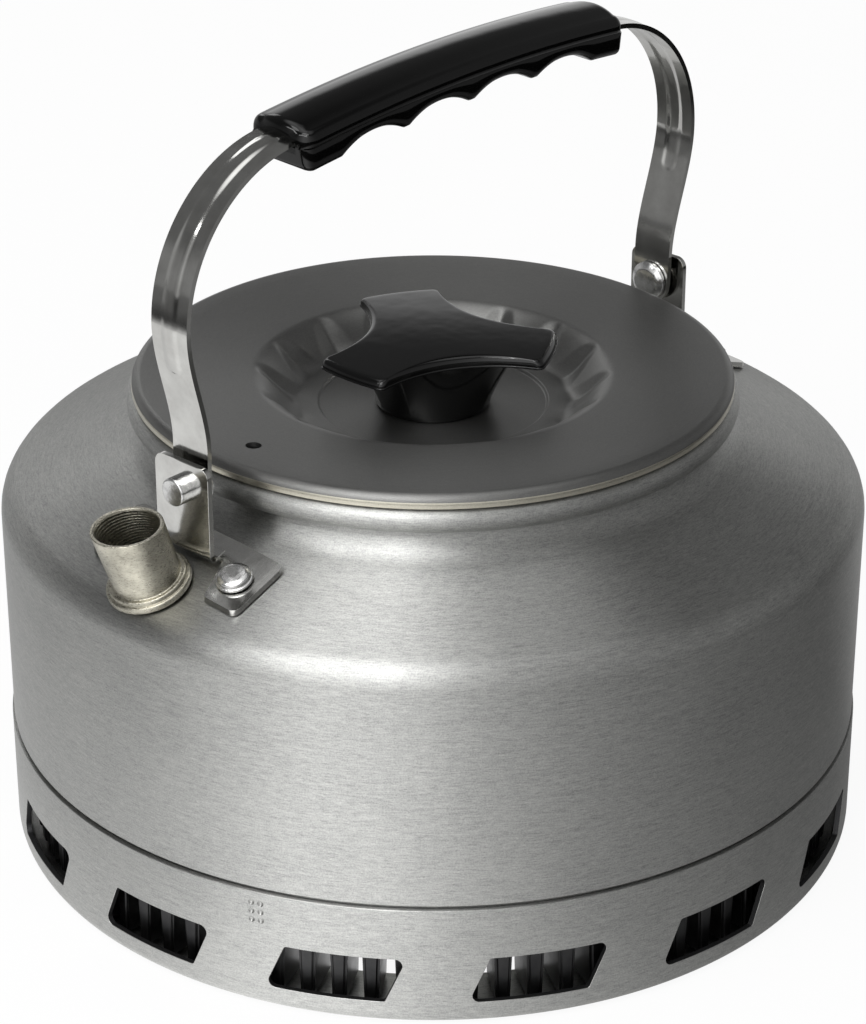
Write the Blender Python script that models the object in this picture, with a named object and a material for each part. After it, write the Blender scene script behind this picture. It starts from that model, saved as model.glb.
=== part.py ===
"""Camp kettle with a heat-exchanger skirt, a lift-off lid and a folding bail handle.

Metres, +Z up. The origin is on the ground plane at the kettle's own axis. The spout
points to -X, and the bail's hinge line runs along X, from the spout side to the rear.
Every size below is a real size of the kettle; the rest is worked out from them.
"""

import math

import bmesh
import bpy
from mathutils import Matrix, Vector

MM = 0.001
DEG = math.radians(1.0)

# Clearances
SEAT_GAP = 0.3 * MM          # between pieces that rest on each other
PIVOT_GAP = 0.2 * MM         # between the stacked pieces of the bail's pivot
HOLE_GAP = 0.3 * MM          # around a rivet, screw or peg in its hole

# Vessel: one drawn aluminium pressing
SHEET = 1.2 * MM             # wall of the vessel, the skirt and the lid
FLOOR_SHEET = 1.5 * MM
BODY_R = 95.0 * MM
FLOOR_OVER_WINDOWS = 1.4 * MM  # from the windows up to the underside of the floor
BASE_CORNER_R = 4.0 * MM
SHOULDER_Z = 77.0 * MM       # top of the straight wall
SHOULDER_R = 7.0 * MM
CONE_SLOPE = 20.5 * DEG      # slope of the top, from the shoulder up to the neck
NECK_FILLET_R = 6.0 * MM
NECK_RISE = 2.7 * MM         # from the top of the neck's fillet to the bead's centre
BEAD_R = 2.6 * MM            # rolled edge of the mouth

# Skirt: ring around the heat exchanger, pushed over the foot of the vessel
SKIRT_PROUD = 0.4 * MM       # the skirt stands this far outside the vessel's wall
SKIRT_LAP = 10.5 * MM        # how far the skirt runs up past the underside of the floor
SEAM_WIDTH = 0.8 * MM        # groove between the skirt and the vessel's wall
SKIRT_CORNER_R = 3.0 * MM
FLANGE_WIDTH = 16.9 * MM     # from the skirt's outside in to the burner opening
WINDOW_COUNT = 14
WINDOW_LENGTH = 25.6 * MM
WINDOW_LOW_Z = 5.6 * MM
WINDOW_HEIGHT = 10.5 * MM
WINDOW_LEAN = 4.5 * MM       # sideways shift from a window's bottom to its top
WINDOW_CORNER_R = 1.6 * MM
WINDOW_FIRST = -150.0 * DEG  # direction of one window, the others follow around
PUNCH_MARK_AT = -160.0 * DEG  # direction of the block of six punch marks
PUNCH_MARK_DOWN = 4.7 * MM   # from the skirt's top edge to the middle of the block
PUNCH_PITCH = 2.05 * MM
PUNCH_R = 0.55 * MM
PUNCH_DEPTH = 0.35 * MM

# Heat-exchanger fins: one strip folded to and fro under the floor
FIN_COUNT = 72
FIN_SHEET = 0.6 * MM
FIN_SETBACK = 1.3 * MM       # from the burner opening to the fins
FIN_WALL_GAP = 3.0 * MM      # from the fins to the skirt's inside
FIN_FOOT_RISE = 0.9 * MM     # from the flange up to the fins' closed ends
FIN_FOOT_SHARE = 0.34        # share of a fin's pitch taken by its closed lower end
FIN_TOP_SHARE = 0.42         # share of a fin's pitch taken by its upper, brazed end

# Spout: turned tube with a two-step flange, seated square on the sloping top
SPOUT_FROM_WALL = 9.8 * MM   # from the body's outside in to the flange's centre
SPOUT_LENGTH = 16.2 * MM
SPOUT_BORE_R = 6.2 * MM
SPOUT_WALL = 1.0 * MM
SPOUT_SPREAD = 0.25 * MM     # how much wider the tube is at its rim
SPOUT_RIM_CUT = 12.0 * DEG   # the rim is cut this much nearer to level than the tube
SPOUT_FLANGE_OUT = 1.8 * MM  # beyond the tube
SPOUT_FLANGE_T = 1.4 * MM
SPOUT_STEP_OUT = 1.1 * MM    # beyond the tube
SPOUT_STEP_T = 1.0 * MM
SPOUT_SPIGOT_WALL = 0.7 * MM
SPOUT_FLARE = 0.9 * MM       # how far the swaged inner end spreads past the spigot
SPOUT_FLARE_GAP = 1.7 * MM   # flat flare to the curved inside of the wall
SPOUT_FLARE_T = 1.1 * MM

# Bail brackets: stainless stampings with an upright ear and two feet
BAIL_OFF_LINE = -1.6 * MM    # the bail's hinge line runs this far beside the spout's line
PLATE = 1.2 * MM
EAR_FROM_SPOUT = 8.7 * MM    # from the spout's centre in to the ear's outer face
EAR_STANDOFF = 14.9 * MM     # from the neck's inner wall to the ear's outer face
EAR_WIDTH = 15.3 * MM
EAR_CORNER_R = 2.2 * MM
EAR_OVER_PIVOT = 6.2 * MM
FOOT_BACK = 7.0 * MM         # how far the base runs from the ear towards the neck
FOOT_REACH = 7.2 * MM        # how far the feet run outwards past the ear
FOOT_SPAN = 42.4 * MM
FOOT_CORNER = 1.6 * MM
FOOT_ROOT_OUT = 1.55 * MM    # from the ear's edge to where a foot starts
FOOT_WIDTH = 8.8 * MM        # at the foot's outer end
RELIEF_R = 0.9 * MM          # small round relief at each end of the fold
FOOT_RIVET_OUT = 0.4 * MM    # foot rivets lie this far outside the ear's outer face
FOOT_RIVET_IN = 6.2 * MM     # from the end of the foot to the rivet's centre
FOOT_RIVET_R = 2.0 * MM
FOOT_HEAD_OUT = 1.9 * MM     # heads, tails and washers: how far they reach past the shank
FOOT_HEAD_T = 1.9 * MM
FOOT_TAIL_OUT = 1.0 * MM
FOOT_TAIL_T = 1.5 * MM
FOOT_WASHER_OUT = 2.2 * MM
FOOT_WASHER_T = 0.8 * MM

# Bail pivot
PIVOT_RISE = 16.0 * MM       # hinge line above the cone at the ear
PIVOT_R = 2.5 * MM
PIVOT_HEAD_OUT = 2.0 * MM    # heads, ends and washers: how far they reach past the shank
PIVOT_HEAD_T = 1.7 * MM
PIVOT_END_OUT = 0.35 * MM
PIVOT_END_T = 3.8 * MM
PIVOT_WASHER_OUT = 1.9 * MM
PIVOT_WASHER_T = 0.4 * MM

# Bail: one bent strip with a pressed rib, and a two-part grip
BAIL_LEAN = 1.9 * DEG        # the bail stands this much out of upright, towards -Y
STRAP = 1.1 * MM
STRAP_WIDTH = 10.0 * MM
STRAP_TAIL = 5.6 * MM        # strip below the hinge line
JOGGLE_START = 7.5 * MM      # heights above the hinge line
JOGGLE_END = 36.3 * MM
JOGGLE_OUT = 5.4 * MM
BEND_R = 32.0 * MM           # bend between an arm and the grip
CROWN_SLOPE = 6.0 * DEG      # slope of the strip where it enters the grip
RIB_WIDTH = 5.2 * MM
RIB_FLAT = 2.8 * MM
RIB_H = 0.8 * MM
RIB_OVERRUN = 10.8 * MM      # from the rib's lower end up to the end of the joggle
RIB_RUNOUT = 2.4 * MM
GRIP_END_MARGIN = 2.4 * MM   # strip showing between its bend and the grip
GRIP_WIDTH = 17.0 * MM
GRIP_TOP = 3.2 * MM          # above the strip's centre
GRIP_UNDER = 5.0 * MM        # below the strip's centre, at the ridges
GRIP_EDGE_R = 2.0 * MM
GRIP_LOWER_INSET = 0.3 * MM
FINGER_END = 6.0 * MM        # least plain length at each end of the grip
FINGER_PITCH = 20.0 * MM
FINGER_DEPTH = 2.5 * MM
PEG_R = 1.6 * MM
PEG_FROM_END = 5.0 * MM
PEG_REACH = 3.4 * MM         # below the strip's centre

# Lid: pressed disc with a pleated dish, on a collar that drops into the neck
LID_OVERHANG = 4.0 * MM      # lid's edge beyond the neck's inner wall
LID_RIM_H = 2.9 * MM
LID_RIM_R = 2.2 * MM
LID_FALL = 1.0 * MM          # fall of the flat ring from the rim to the dish
LEDGE_WIDTH = 25.6 * MM      # from the lid's edge in to the dish
DISH_WALL_RUN = 11.0 * MM    # from the dish's edge in to the foot of its wall
DISH_DEPTH = 7.6 * MM        # from the flat ring's inner edge to the dish's floor
FLOOR_RING_WIDTH = 4.2 * MM
FLOOR_RING_RISE = 0.9 * MM
PLEAT_COUNT = 16
PLEAT_DEPTH = 0.9 * MM
STEAM_HOLE_R = 1.35 * MM
STEAM_HOLE_IN = 10.6 * MM    # from the lid's edge
COLLAR_CLEARANCE = 0.5 * MM
COLLAR_DROP = 8.0 * MM

# Knob: moulded three-armed plate on a waisted stem, held by a screw from below
KNOB_WAIST_R = 12.2 * MM
KNOB_BASE_OUT = 1.0 * MM     # how far the stem spreads at its foot
KNOB_HEIGHT = 16.0 * MM
KNOB_PLATE = 2.9 * MM
KNOB_EDGE_R = 0.8 * MM
KNOB_TIP_AT = 26.0 * MM
KNOB_TIP_HALF = 9.3 * MM
KNOB_TIP_BULGE = 0.8 * MM
KNOB_HOLLOW_OUT = 2.6 * MM   # from the waist to the middle of a concave edge
SCREW_R = 2.0 * MM
SCREW_DEPTH = 9.0 * MM
SCREW_HEAD_OUT = 1.8 * MM    # head and washer: how far they reach past the shank
SCREW_HEAD_T = 2.0 * MM
KNOB_WASHER_OUT = 5.0 * MM
KNOB_WASHER_T = 1.0 * MM

# Facets around the turned pieces
BODY_FACETS = 60
SKIRT_FACETS = 4 * WINDOW_COUNT
LID_FACETS = 3 * PLEAT_COUNT
SPOUT_FACETS = 20
RIVET_FACETS = 12

# Sizes that follow from those above
SPOUT_AT = BODY_R - SPOUT_FROM_WALL
EAR_R = SPOUT_AT - EAR_FROM_SPOUT
NECK_IN_R = EAR_R - EAR_STANDOFF
NECK_OUT_R = NECK_IN_R + SHEET
BEAD_CENTRE_R = NECK_IN_R + BEAD_R
BASE_Z = WINDOW_LOW_Z + WINDOW_HEIGHT + FLOOR_OVER_WINDOWS
SKIRT_TOP_Z = BASE_Z + SKIRT_LAP
PUNCH_MARK_Z = SKIRT_TOP_Z - PUNCH_MARK_DOWN
SPIGOT_R = BODY_R + SKIRT_PROUD - SHEET - SEAT_GAP
SKIRT_R = BODY_R + SKIRT_PROUD
FLANGE_IN_R = SKIRT_R - FLANGE_WIDTH
FIN_IN_R = FLANGE_IN_R + FIN_SETBACK
FIN_OUT_R = SKIRT_R - SHEET - FIN_WALL_GAP
SPOUT_ROOT_R = SPOUT_BORE_R + SPOUT_WALL
SPOUT_RIM_R = SPOUT_ROOT_R + SPOUT_SPREAD
SPOUT_FLANGE_R = SPOUT_ROOT_R + SPOUT_FLANGE_OUT
SPOUT_STEP_R = SPOUT_ROOT_R + SPOUT_STEP_OUT
FOOT_ROOT = EAR_WIDTH / 2.0 + FOOT_ROOT_OUT
FOOT_TOE = FOOT_SPAN / 2.0 - FOOT_WIDTH
FOOT_RIVET_SIDE = FOOT_SPAN / 2.0 - FOOT_RIVET_IN
FOOT_HEAD_R = FOOT_RIVET_R + FOOT_HEAD_OUT
FOOT_TAIL_R = FOOT_RIVET_R + FOOT_TAIL_OUT
FOOT_WASHER_R = FOOT_RIVET_R + FOOT_WASHER_OUT
PIVOT_HEAD_R = PIVOT_R + PIVOT_HEAD_OUT
PIVOT_END_R = PIVOT_R + PIVOT_END_OUT
PIVOT_WASHER_R = PIVOT_R + PIVOT_WASHER_OUT
RIB_START = JOGGLE_END - RIB_OVERRUN
CONE_START_R = BODY_R - SHOULDER_R * (1.0 - math.sin(CONE_SLOPE))
CONE_START_Z = SHOULDER_Z + SHOULDER_R * math.cos(CONE_SLOPE)
FILLET_CENTRE_R = NECK_OUT_R + NECK_FILLET_R
FILLET_START_R = FILLET_CENTRE_R - NECK_FILLET_R * math.sin(CONE_SLOPE)
STRAP_R = EAR_R - PLATE - PIVOT_WASHER_T - 2.0 * PIVOT_GAP - STRAP / 2.0
LID_R = NECK_IN_R + LID_OVERHANG
DISH_R = LID_R - LEDGE_WIDTH
DISH_FOOT_R = DISH_R - DISH_WALL_RUN
FLOOR_RING_R = DISH_FOOT_R - FLOOR_RING_WIDTH
STEAM_HOLE_AT = LID_R - STEAM_HOLE_IN
KNOB_BASE_R = KNOB_WAIST_R + KNOB_BASE_OUT
KNOB_HOLLOW_R = KNOB_WAIST_R + KNOB_HOLLOW_OUT
SCREW_HEAD_R = SCREW_R + SCREW_HEAD_OUT
KNOB_WASHER_R = SCREW_R + KNOB_WASHER_OUT


def cone_z(r):
    """Height of the vessel's sloping top, outside, at radius r."""
    return CONE_START_Z + (CONE_START_R - r) * math.tan(CONE_SLOPE)


FILLET_CENTRE_Z = cone_z(FILLET_START_R) + NECK_FILLET_R * math.cos(CONE_SLOPE)
BEAD_CENTRE_Z = FILLET_CENTRE_Z + NECK_RISE
BEAD_TOP_Z = BEAD_CENTRE_Z + BEAD_R
PIVOT_Z = cone_z(EAR_R) + PIVOT_RISE
LID_TOP_Z = BEAD_TOP_Z + SEAT_GAP + LID_RIM_H
DISH_FLOOR_Z = LID_TOP_Z - LID_FALL - DISH_DEPTH


def clear_scene():
    for old in list(bpy.data.objects):
        bpy.data.objects.remove(old, do_unlink=True)


def material(name, hex_colour, metallic, roughness):
    """A plain Principled finish with an sRGB colour."""
    channels = [int(hex_colour[i:i + 2], 16) / 255.0 for i in (0, 2, 4)]
    linear = [c / 12.92 if c <= 0.04045 else ((c + 0.055) / 1.055) ** 2.4 for c in channels]
    made = bpy.data.materials.new(name)
    made.use_nodes = True
    shader = made.node_tree.nodes["Principled BSDF"]
    shader.inputs["Base Color"].default_value = (*linear, 1.0)
    shader.inputs["Metallic"].default_value = metallic
    shader.inputs["Roughness"].default_value = roughness
    made.diffuse_color = (*linear, 1.0)
    return made


FINISHES = {
    "anodised": ("8E9092", 1.0, 0.42),
    "lid_grey": ("57585A", 1.0, 0.5),
    "fins": ("2A2B2D", 1.0, 0.55),
    "nickel": ("A39E90", 1.0, 0.35),
    "stainless": ("C3C4C4", 1.0, 0.18),
    "rivet": ("CFCFD0", 1.0, 0.28),
    "plastic": ("0B0B0C", 0.0, 0.12),
}


def piece(name, bm, finish, parent=None):
    """Close off a bmesh as a named object with its own material."""
    bmesh.ops.remove_doubles(bm, verts=bm.verts, dist=1e-6)
    bmesh.ops.recalc_face_normals(bm, faces=bm.faces)
    mesh = bpy.data.meshes.new(name)
    bm.to_mesh(mesh)
    bm.free()
    mesh.shade_smooth()
    mesh.set_sharp_from_angle(angle=35.0 * DEG)
    made = bpy.data.objects.new(name, mesh)
    bpy.context.collection.objects.link(made)
    mesh.materials.append(material(name + "_finish", *FINISHES[finish]))
    made.parent = parent
    return made


def cut(target, bm, name):
    """Subtract a bmesh, given in the target's own frame, from an object."""
    bmesh.ops.recalc_face_normals(bm, faces=bm.faces)
    mesh = bpy.data.meshes.new(name)
    bm.to_mesh(mesh)
    bm.free()
    cutter = bpy.data.objects.new(name, mesh)
    bpy.context.collection.objects.link(cutter)
    cutter.parent = target.parent
    cutter.matrix_local = target.matrix_local
    cutter.hide_render = True
    cutter.display_type = "WIRE"
    step = target.modifiers.new(name, "BOOLEAN")
    step.operation = "DIFFERENCE"
    step.object = cutter


def join(target, bm, name):
    """Unite a bmesh, given in the target's own frame, with an object."""
    cut(target, bm, name)
    target.modifiers[name].operation = "UNION"


def empty(name, location, rotation=(0.0, 0.0, 0.0)):
    made = bpy.data.objects.new(name, None)
    made.location = location
    made.rotation_euler = rotation
    bpy.context.collection.objects.link(made)
    return made


def arc(centre_r, centre_z, radius, start, end, steps):
    """Points of an arc in the (r, z) plane, both ends included. Angles in radians."""
    turns = [start + (end - start) * i / steps for i in range(steps + 1)]
    return [(centre_r + radius * math.cos(t), centre_z + radius * math.sin(t)) for t in turns]


def turned(outline, facets, closed=False):
    """Spin an (r, z) outline about Z. A closed outline makes a ring."""
    bm = bmesh.new()
    verts = [bm.verts.new((r, 0.0, z)) for r, z in outline]
    for a, b in zip(verts, verts[1:]):
        bm.edges.new((a, b))
    if closed:
        bm.edges.new((verts[-1], verts[0]))
    bmesh.ops.spin(
        bm, geom=bm.verts[:] + bm.edges[:], axis=(0.0, 0.0, 1.0), cent=(0.0, 0.0, 0.0),
        angle=2.0 * math.pi, steps=facets, use_merge=True, use_duplicate=False)
    bmesh.ops.remove_doubles(bm, verts=bm.verts, dist=1e-6)
    return bm


def add_cylinder(bm, radius, low, high, place=Matrix(), facets=RIVET_FACETS):
    """Add a cylinder along Z from low to high, moved by a matrix."""
    middle = Matrix.Translation((0.0, 0.0, (low + high) / 2.0))
    bmesh.ops.create_cone(
        bm, cap_ends=True, segments=facets, radius1=radius, radius2=radius,
        depth=high - low, matrix=place @ middle)


def add_prism(bm, outline, low, high, place=Matrix()):
    """Extrude a flat (x, y) outline along Z from low to high, moved by a matrix."""
    verts = [bm.verts.new(place @ Vector((x, y, low))) for x, y in outline]
    face = bm.faces.new(verts)
    raised = bmesh.ops.extrude_face_region(bm, geom=[face])["geom"]
    lift = place.to_3x3() @ Vector((0.0, 0.0, high - low))
    moved = [v for v in raised if isinstance(v, bmesh.types.BMVert)]
    bmesh.ops.translate(bm, verts=moved, vec=lift)


def skin(bm, rings):
    """Close a row of rings, each a list of points, into one solid."""
    rows = [[bm.verts.new(p) for p in ring] for ring in rings]
    for near, far in zip(rows, rows[1:]):
        count = len(near)
        for i in range(count):
            j = (i + 1) % count
            bm.faces.new((near[i], near[j], far[j], far[i]))
    bm.faces.new(rows[0])
    bm.faces.new(rows[-1])


def on_cone_place(x, y):
    """Frame with its origin on the sloping top above (x, y) and +Z along the outward normal."""
    r = math.hypot(x, y)
    turn = Matrix.Rotation(math.atan2(y, x), 4, "Z") @ Matrix.Rotation(CONE_SLOPE, 4, "Y")
    return Matrix.Translation((x, y, cone_z(r))) @ turn


def pivot_place(side):
    """Frame on the hinge line at the kettle's middle, +Z pointing out to one side (-1 or +1)."""
    turn = Matrix.Rotation(side * math.pi / 2.0, 4, "Y")
    return Matrix.Translation((0.0, BAIL_OFF_LINE, PIVOT_Z)) @ turn


def vessel_outline():
    """Section of the pressing: floor, spigot, wall, shoulder, cone, neck, bead, and back inside."""
    step_z = SKIRT_TOP_Z + SEAM_WIDTH
    floor_z = BASE_Z + FLOOR_SHEET
    corner_r = SPIGOT_R - BASE_CORNER_R
    corner_z = BASE_Z + BASE_CORNER_R
    top = math.pi / 2.0
    bead_joint = math.pi + math.acos((BEAD_R - SHEET) / BEAD_R)
    fillet_low = math.pi * 1.5 - CONE_SLOPE
    shoulder = BODY_R - SHOULDER_R
    outside = [(0.0, BASE_Z)]
    outside += arc(corner_r, corner_z, BASE_CORNER_R, -top, 0.0, 3)
    outside += [(SPIGOT_R, step_z), (BODY_R, step_z)]
    outside += arc(shoulder, SHOULDER_Z, SHOULDER_R, 0.0, top - CONE_SLOPE, 4)
    outside += arc(FILLET_CENTRE_R, FILLET_CENTRE_Z, NECK_FILLET_R, fillet_low, math.pi, 3)
    outside += arc(BEAD_CENTRE_R, BEAD_CENTRE_Z, BEAD_R, bead_joint, 3.0 * math.pi, 7)
    inside = arc(FILLET_CENTRE_R, FILLET_CENTRE_Z, NECK_FILLET_R + SHEET, math.pi, fillet_low, 2)
    inside += arc(shoulder, SHOULDER_Z, SHOULDER_R - SHEET, top - CONE_SLOPE, 0.0, 3)
    inside += [(BODY_R - SHEET, step_z + SHEET), (SPIGOT_R - SHEET, step_z + SHEET)]
    inside += arc(corner_r, corner_z, BASE_CORNER_R - SHEET, 0.0, -top, 2)[:-1]
    inside += [(corner_r, floor_z), (0.0, floor_z)]
    return outside + inside


def foot_rivet_places():
    """Where the four foot rivets stand: two at each bracket."""
    reach = EAR_R + FOOT_RIVET_OUT
    sides = (-FOOT_RIVET_SIDE, FOOT_RIVET_SIDE)
    return [on_cone_place(x, BAIL_OFF_LINE + y) for x in (-reach, reach) for y in sides]


def spout_place():
    return on_cone_place(-SPOUT_AT, 0.0)


def build_vessel():
    vessel = piece("vessel", turned(vessel_outline(), BODY_FACETS), "anodised")
    holes = bmesh.new()
    through = 3.0 * SHEET
    for place in foot_rivet_places():
        add_cylinder(holes, FOOT_RIVET_R + HOLE_GAP, -through, through, place)
    spigot_r = SPOUT_BORE_R + SPOUT_SPIGOT_WALL
    add_cylinder(holes, spigot_r + HOLE_GAP, -through, through, spout_place(), SPOUT_FACETS)
    cut(vessel, holes, "vessel_holes")


def window_outline():
    """A leaning window with rounded corners, as (sideways, up) about its lower edge's middle."""
    half = WINDOW_LENGTH / 2.0
    shift = WINDOW_LEAN / 2.0
    corners = [(-half - shift, 0.0), (half - shift, 0.0),
               (half + shift, WINDOW_HEIGHT), (-half + shift, WINDOW_HEIGHT)]
    outline = []
    for i, corner in enumerate(corners):
        here = Vector(corner)
        before = (Vector(corners[i - 1]) - here).normalized()
        after = (Vector(corners[(i + 1) % 4]) - here).normalized()
        start = here + before * WINDOW_CORNER_R
        end = here + after * WINDOW_CORNER_R
        outline += [start, (start + end + 2.0 * here) / 4.0, end]
    return [(p.x, p.y) for p in outline]


def around(direction, radius, z):
    """Frame at a radius and height, +Z pointing outwards, +X sideways and +Y up."""
    turn = Matrix.Rotation(direction, 4, "Z")
    face_out = Matrix(((0.0, 0.0, 1.0), (1.0, 0.0, 0.0), (0.0, 1.0, 0.0))).to_4x4()
    return turn @ Matrix.Translation((radius, 0.0, z)) @ face_out


def build_skirt():
    top = math.pi / 2.0
    corner = SKIRT_R - SKIRT_CORNER_R
    outline = [(SKIRT_R - SHEET, SKIRT_TOP_Z), (SKIRT_R, SKIRT_TOP_Z)]
    outline += arc(corner, SKIRT_CORNER_R, SKIRT_CORNER_R, 0.0, -top, 3)
    outline += [(FLANGE_IN_R, 0.0), (FLANGE_IN_R, SHEET)]
    outline += arc(corner, SKIRT_CORNER_R, SKIRT_CORNER_R - SHEET, -top, 0.0, 2)
    skirt = piece("heat_exchanger_skirt", turned(outline, SKIRT_FACETS, closed=True), "anodised")
    openings = bmesh.new()
    for i in range(WINDOW_COUNT):
        direction = WINDOW_FIRST + i * 2.0 * math.pi / WINDOW_COUNT
        place = around(direction, SKIRT_R, WINDOW_LOW_Z)
        add_prism(openings, window_outline(), -3.0 * SHEET, 3.0 * SHEET, place)
    for column in (-0.5, 0.5):
        for row in (-1, 0, 1):
            direction = PUNCH_MARK_AT + column * PUNCH_PITCH / SKIRT_R
            place = around(direction, SKIRT_R - PUNCH_DEPTH, PUNCH_MARK_Z + row * PUNCH_PITCH)
            bmesh.ops.create_cone(
                openings, cap_ends=True, segments=6, radius1=0.3 * PUNCH_R, radius2=1.7 * PUNCH_R,
                depth=2.0 * PUNCH_DEPTH, matrix=place @ Matrix.Translation((0.0, 0.0, PUNCH_DEPTH)))
    cut(skirt, openings, "skirt_openings")


def build_fins():
    """A strip folded into U channels, closed below, that stand in a ring under the floor."""
    low = SHEET + FIN_FOOT_RISE
    high = BASE_Z - SEAT_GAP
    pitch = 2.0 * math.pi / FIN_COUNT
    skew = FIN_SHEET / FIN_IN_R
    foot = FIN_FOOT_SHARE * pitch / 2.0
    head = pitch / 2.0 - FIN_TOP_SHARE * pitch / 2.0
    lower_side = [(-head, high - FIN_SHEET), (-foot, low), (foot, low), (head, high - FIN_SHEET)]
    upper_side = [(-head + skew, high), (-foot + skew, low + FIN_SHEET),
                  (foot - skew, low + FIN_SHEET), (head - skew, high)]
    bm = bmesh.new()
    under, over = [], []
    for i in range(FIN_COUNT):
        for side, row in ((lower_side, under), (upper_side, over)):
            for turn, z in side:
                a = i * pitch + turn
                ends = [(r * math.cos(a), r * math.sin(a), z) for r in (FIN_IN_R, FIN_OUT_R)]
                row.append([bm.verts.new(end) for end in ends])
    count = len(under)
    for i in range(count):
        j = (i + 1) % count
        a_in, a_out = under[i]
        b_in, b_out = under[j]
        c_in, c_out = over[i]
        d_in, d_out = over[j]
        for corners in ((a_in, b_in, b_out, a_out), (c_in, c_out, d_out, d_in),
                        (a_in, c_in, d_in, b_in), (a_out, b_out, d_out, c_out)):
            bm.faces.new(corners)
    piece("heat_exchanger_fins", bm, "fins")


def build_spout():
    """Seated on the cone: flange outside, spigot through the wall, swaged over inside."""
    spigot_r = SPOUT_BORE_R + SPOUT_SPIGOT_WALL
    flare_top = -SHEET - SPOUT_FLARE_GAP
    flange_low = SEAT_GAP
    flange_top = flange_low + SPOUT_FLANGE_T
    step_top = flange_top + SPOUT_STEP_T
    outline = [(SPOUT_BORE_R, flare_top - SPOUT_FLARE_T), (spigot_r + SPOUT_FLARE, flare_top - SPOUT_FLARE_T),
               (spigot_r + SPOUT_FLARE, flare_top), (spigot_r, flare_top), (spigot_r, flange_low),
               (SPOUT_FLANGE_R, flange_low), (SPOUT_FLANGE_R, flange_top - 0.5 * MM),
               (SPOUT_FLANGE_R - 0.5 * MM, flange_top), (SPOUT_STEP_R, flange_top),
               (SPOUT_STEP_R - 0.3 * MM, step_top), (SPOUT_ROOT_R, step_top),
               (SPOUT_RIM_R, SPOUT_LENGTH), (SPOUT_BORE_R + 0.3 * MM, SPOUT_LENGTH)]
    bm = turned(outline, SPOUT_FACETS, closed=True)
    for v in bm.verts:
        if v.co.z > SPOUT_LENGTH - 0.1 * MM:
            v.co.z += v.co.x * math.tan(SPOUT_RIM_CUT)
    spout = piece("spout", bm, "nickel")
    spout.matrix_world = spout_place()


def build_bracket(name, side):
    """Base plate bent to the cone, with the ear folded up along its outer edge."""
    half_ear = EAR_WIDTH / 2.0
    half_foot = FOOT_SPAN / 2.0
    back = EAR_R - FOOT_BACK
    toe = EAR_R + FOOT_REACH
    corner = FOOT_CORNER
    right = [(0.0, back, EAR_R), (half_ear, back, EAR_R), (FOOT_ROOT, back, EAR_R),
             (FOOT_TOE, back, toe), (FOOT_RIVET_SIDE, back, toe), (half_foot - corner, back, toe),
             (half_foot - 0.3 * corner, back + 0.3 * corner, toe - 0.3 * corner),
             (half_foot, back + corner, toe - corner)]
    columns = [(-w, inner, outer) for w, inner, outer in reversed(right[1:])] + right
    normal_to_z = 1.0 / math.cos(CONE_SLOPE)
    under = SEAT_GAP * normal_to_z
    over = (SEAT_GAP + PLATE) * normal_to_z
    rings = []
    for w, inner, outer in columns:
        ring = []
        for reach, lift in ((inner, under), (outer, under), (outer, over), (inner, over)):
            x, y = side * reach, BAIL_OFF_LINE + w
            ring.append(Vector((x, y, cone_z(math.hypot(x, y)) + lift)))
        rings.append(ring)
    bm = bmesh.new()
    skin(bm, rings)
    bracket = piece(name, bm, "stainless")

    place = pivot_place(side)
    ear_low = cone_z(EAR_R) + (under + over) / 2.0 - PIVOT_Z
    shoulder = EAR_OVER_PIVOT - EAR_CORNER_R
    flat = half_ear - EAR_CORNER_R
    left_round = arc(-flat, shoulder, EAR_CORNER_R, math.pi, math.pi / 2.0, 3)
    right_round = arc(flat, shoulder, EAR_CORNER_R, math.pi / 2.0, 0.0, 3)
    ear_face = [(-half_ear, ear_low)] + left_round + right_round + [(half_ear, ear_low)]
    ear = bmesh.new()
    add_prism(ear, [(-side * z, y) for y, z in ear_face], EAR_R - PLATE, EAR_R, place)
    join(bracket, ear, name + "_ear")

    holes = bmesh.new()
    add_cylinder(holes, PIVOT_R + HOLE_GAP, EAR_R - 2.0 * PLATE, EAR_R + PLATE, place, RIVET_FACETS)
    for way in (-1, 1):
        spot = on_cone_place(side * (EAR_R + FOOT_RIVET_OUT), BAIL_OFF_LINE + way * FOOT_RIVET_SIDE)
        add_cylinder(holes, FOOT_RIVET_R + HOLE_GAP, -PLATE, 3.0 * PLATE, spot)
        relief = on_cone_place(side * (EAR_R - PLATE / 2.0), BAIL_OFF_LINE + way * (half_ear + 0.7 * RELIEF_R))
        add_cylinder(holes, RELIEF_R, -PLATE, 3.0 * PLATE, relief, 10)
    cut(bracket, holes, name + "_holes")


def build_foot_rivets():
    head_low = 2.0 * SEAT_GAP + PLATE
    washer_top = -SHEET - SEAT_GAP
    tail_top = washer_top - FOOT_WASHER_T - SEAT_GAP
    outline = [(0.0, tail_top - FOOT_TAIL_T), (FOOT_TAIL_R, tail_top - FOOT_TAIL_T), (FOOT_TAIL_R, tail_top),
               (FOOT_RIVET_R, tail_top), (FOOT_RIVET_R, head_low), (FOOT_HEAD_R, head_low),
               (FOOT_HEAD_R, head_low + 0.25 * FOOT_HEAD_T), (0.72 * FOOT_HEAD_R, head_low + 0.8 * FOOT_HEAD_T),
               (0.35 * FOOT_HEAD_R, head_low + FOOT_HEAD_T), (0.0, head_low + FOOT_HEAD_T)]
    bore = FOOT_RIVET_R + HOLE_GAP
    washer = [(bore, washer_top - FOOT_WASHER_T), (FOOT_WASHER_R, washer_top - FOOT_WASHER_T),
              (FOOT_WASHER_R, washer_top), (bore, washer_top)]
    for number, place in enumerate(foot_rivet_places(), start=1):
        rivet = piece(f"foot_rivet_{number}", turned(outline, RIVET_FACETS), "rivet")
        rivet.matrix_world = place
        ring = piece(f"foot_rivet_washer_{number}", turned(washer, RIVET_FACETS, closed=True), "rivet")
        ring.matrix_world = place


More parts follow.
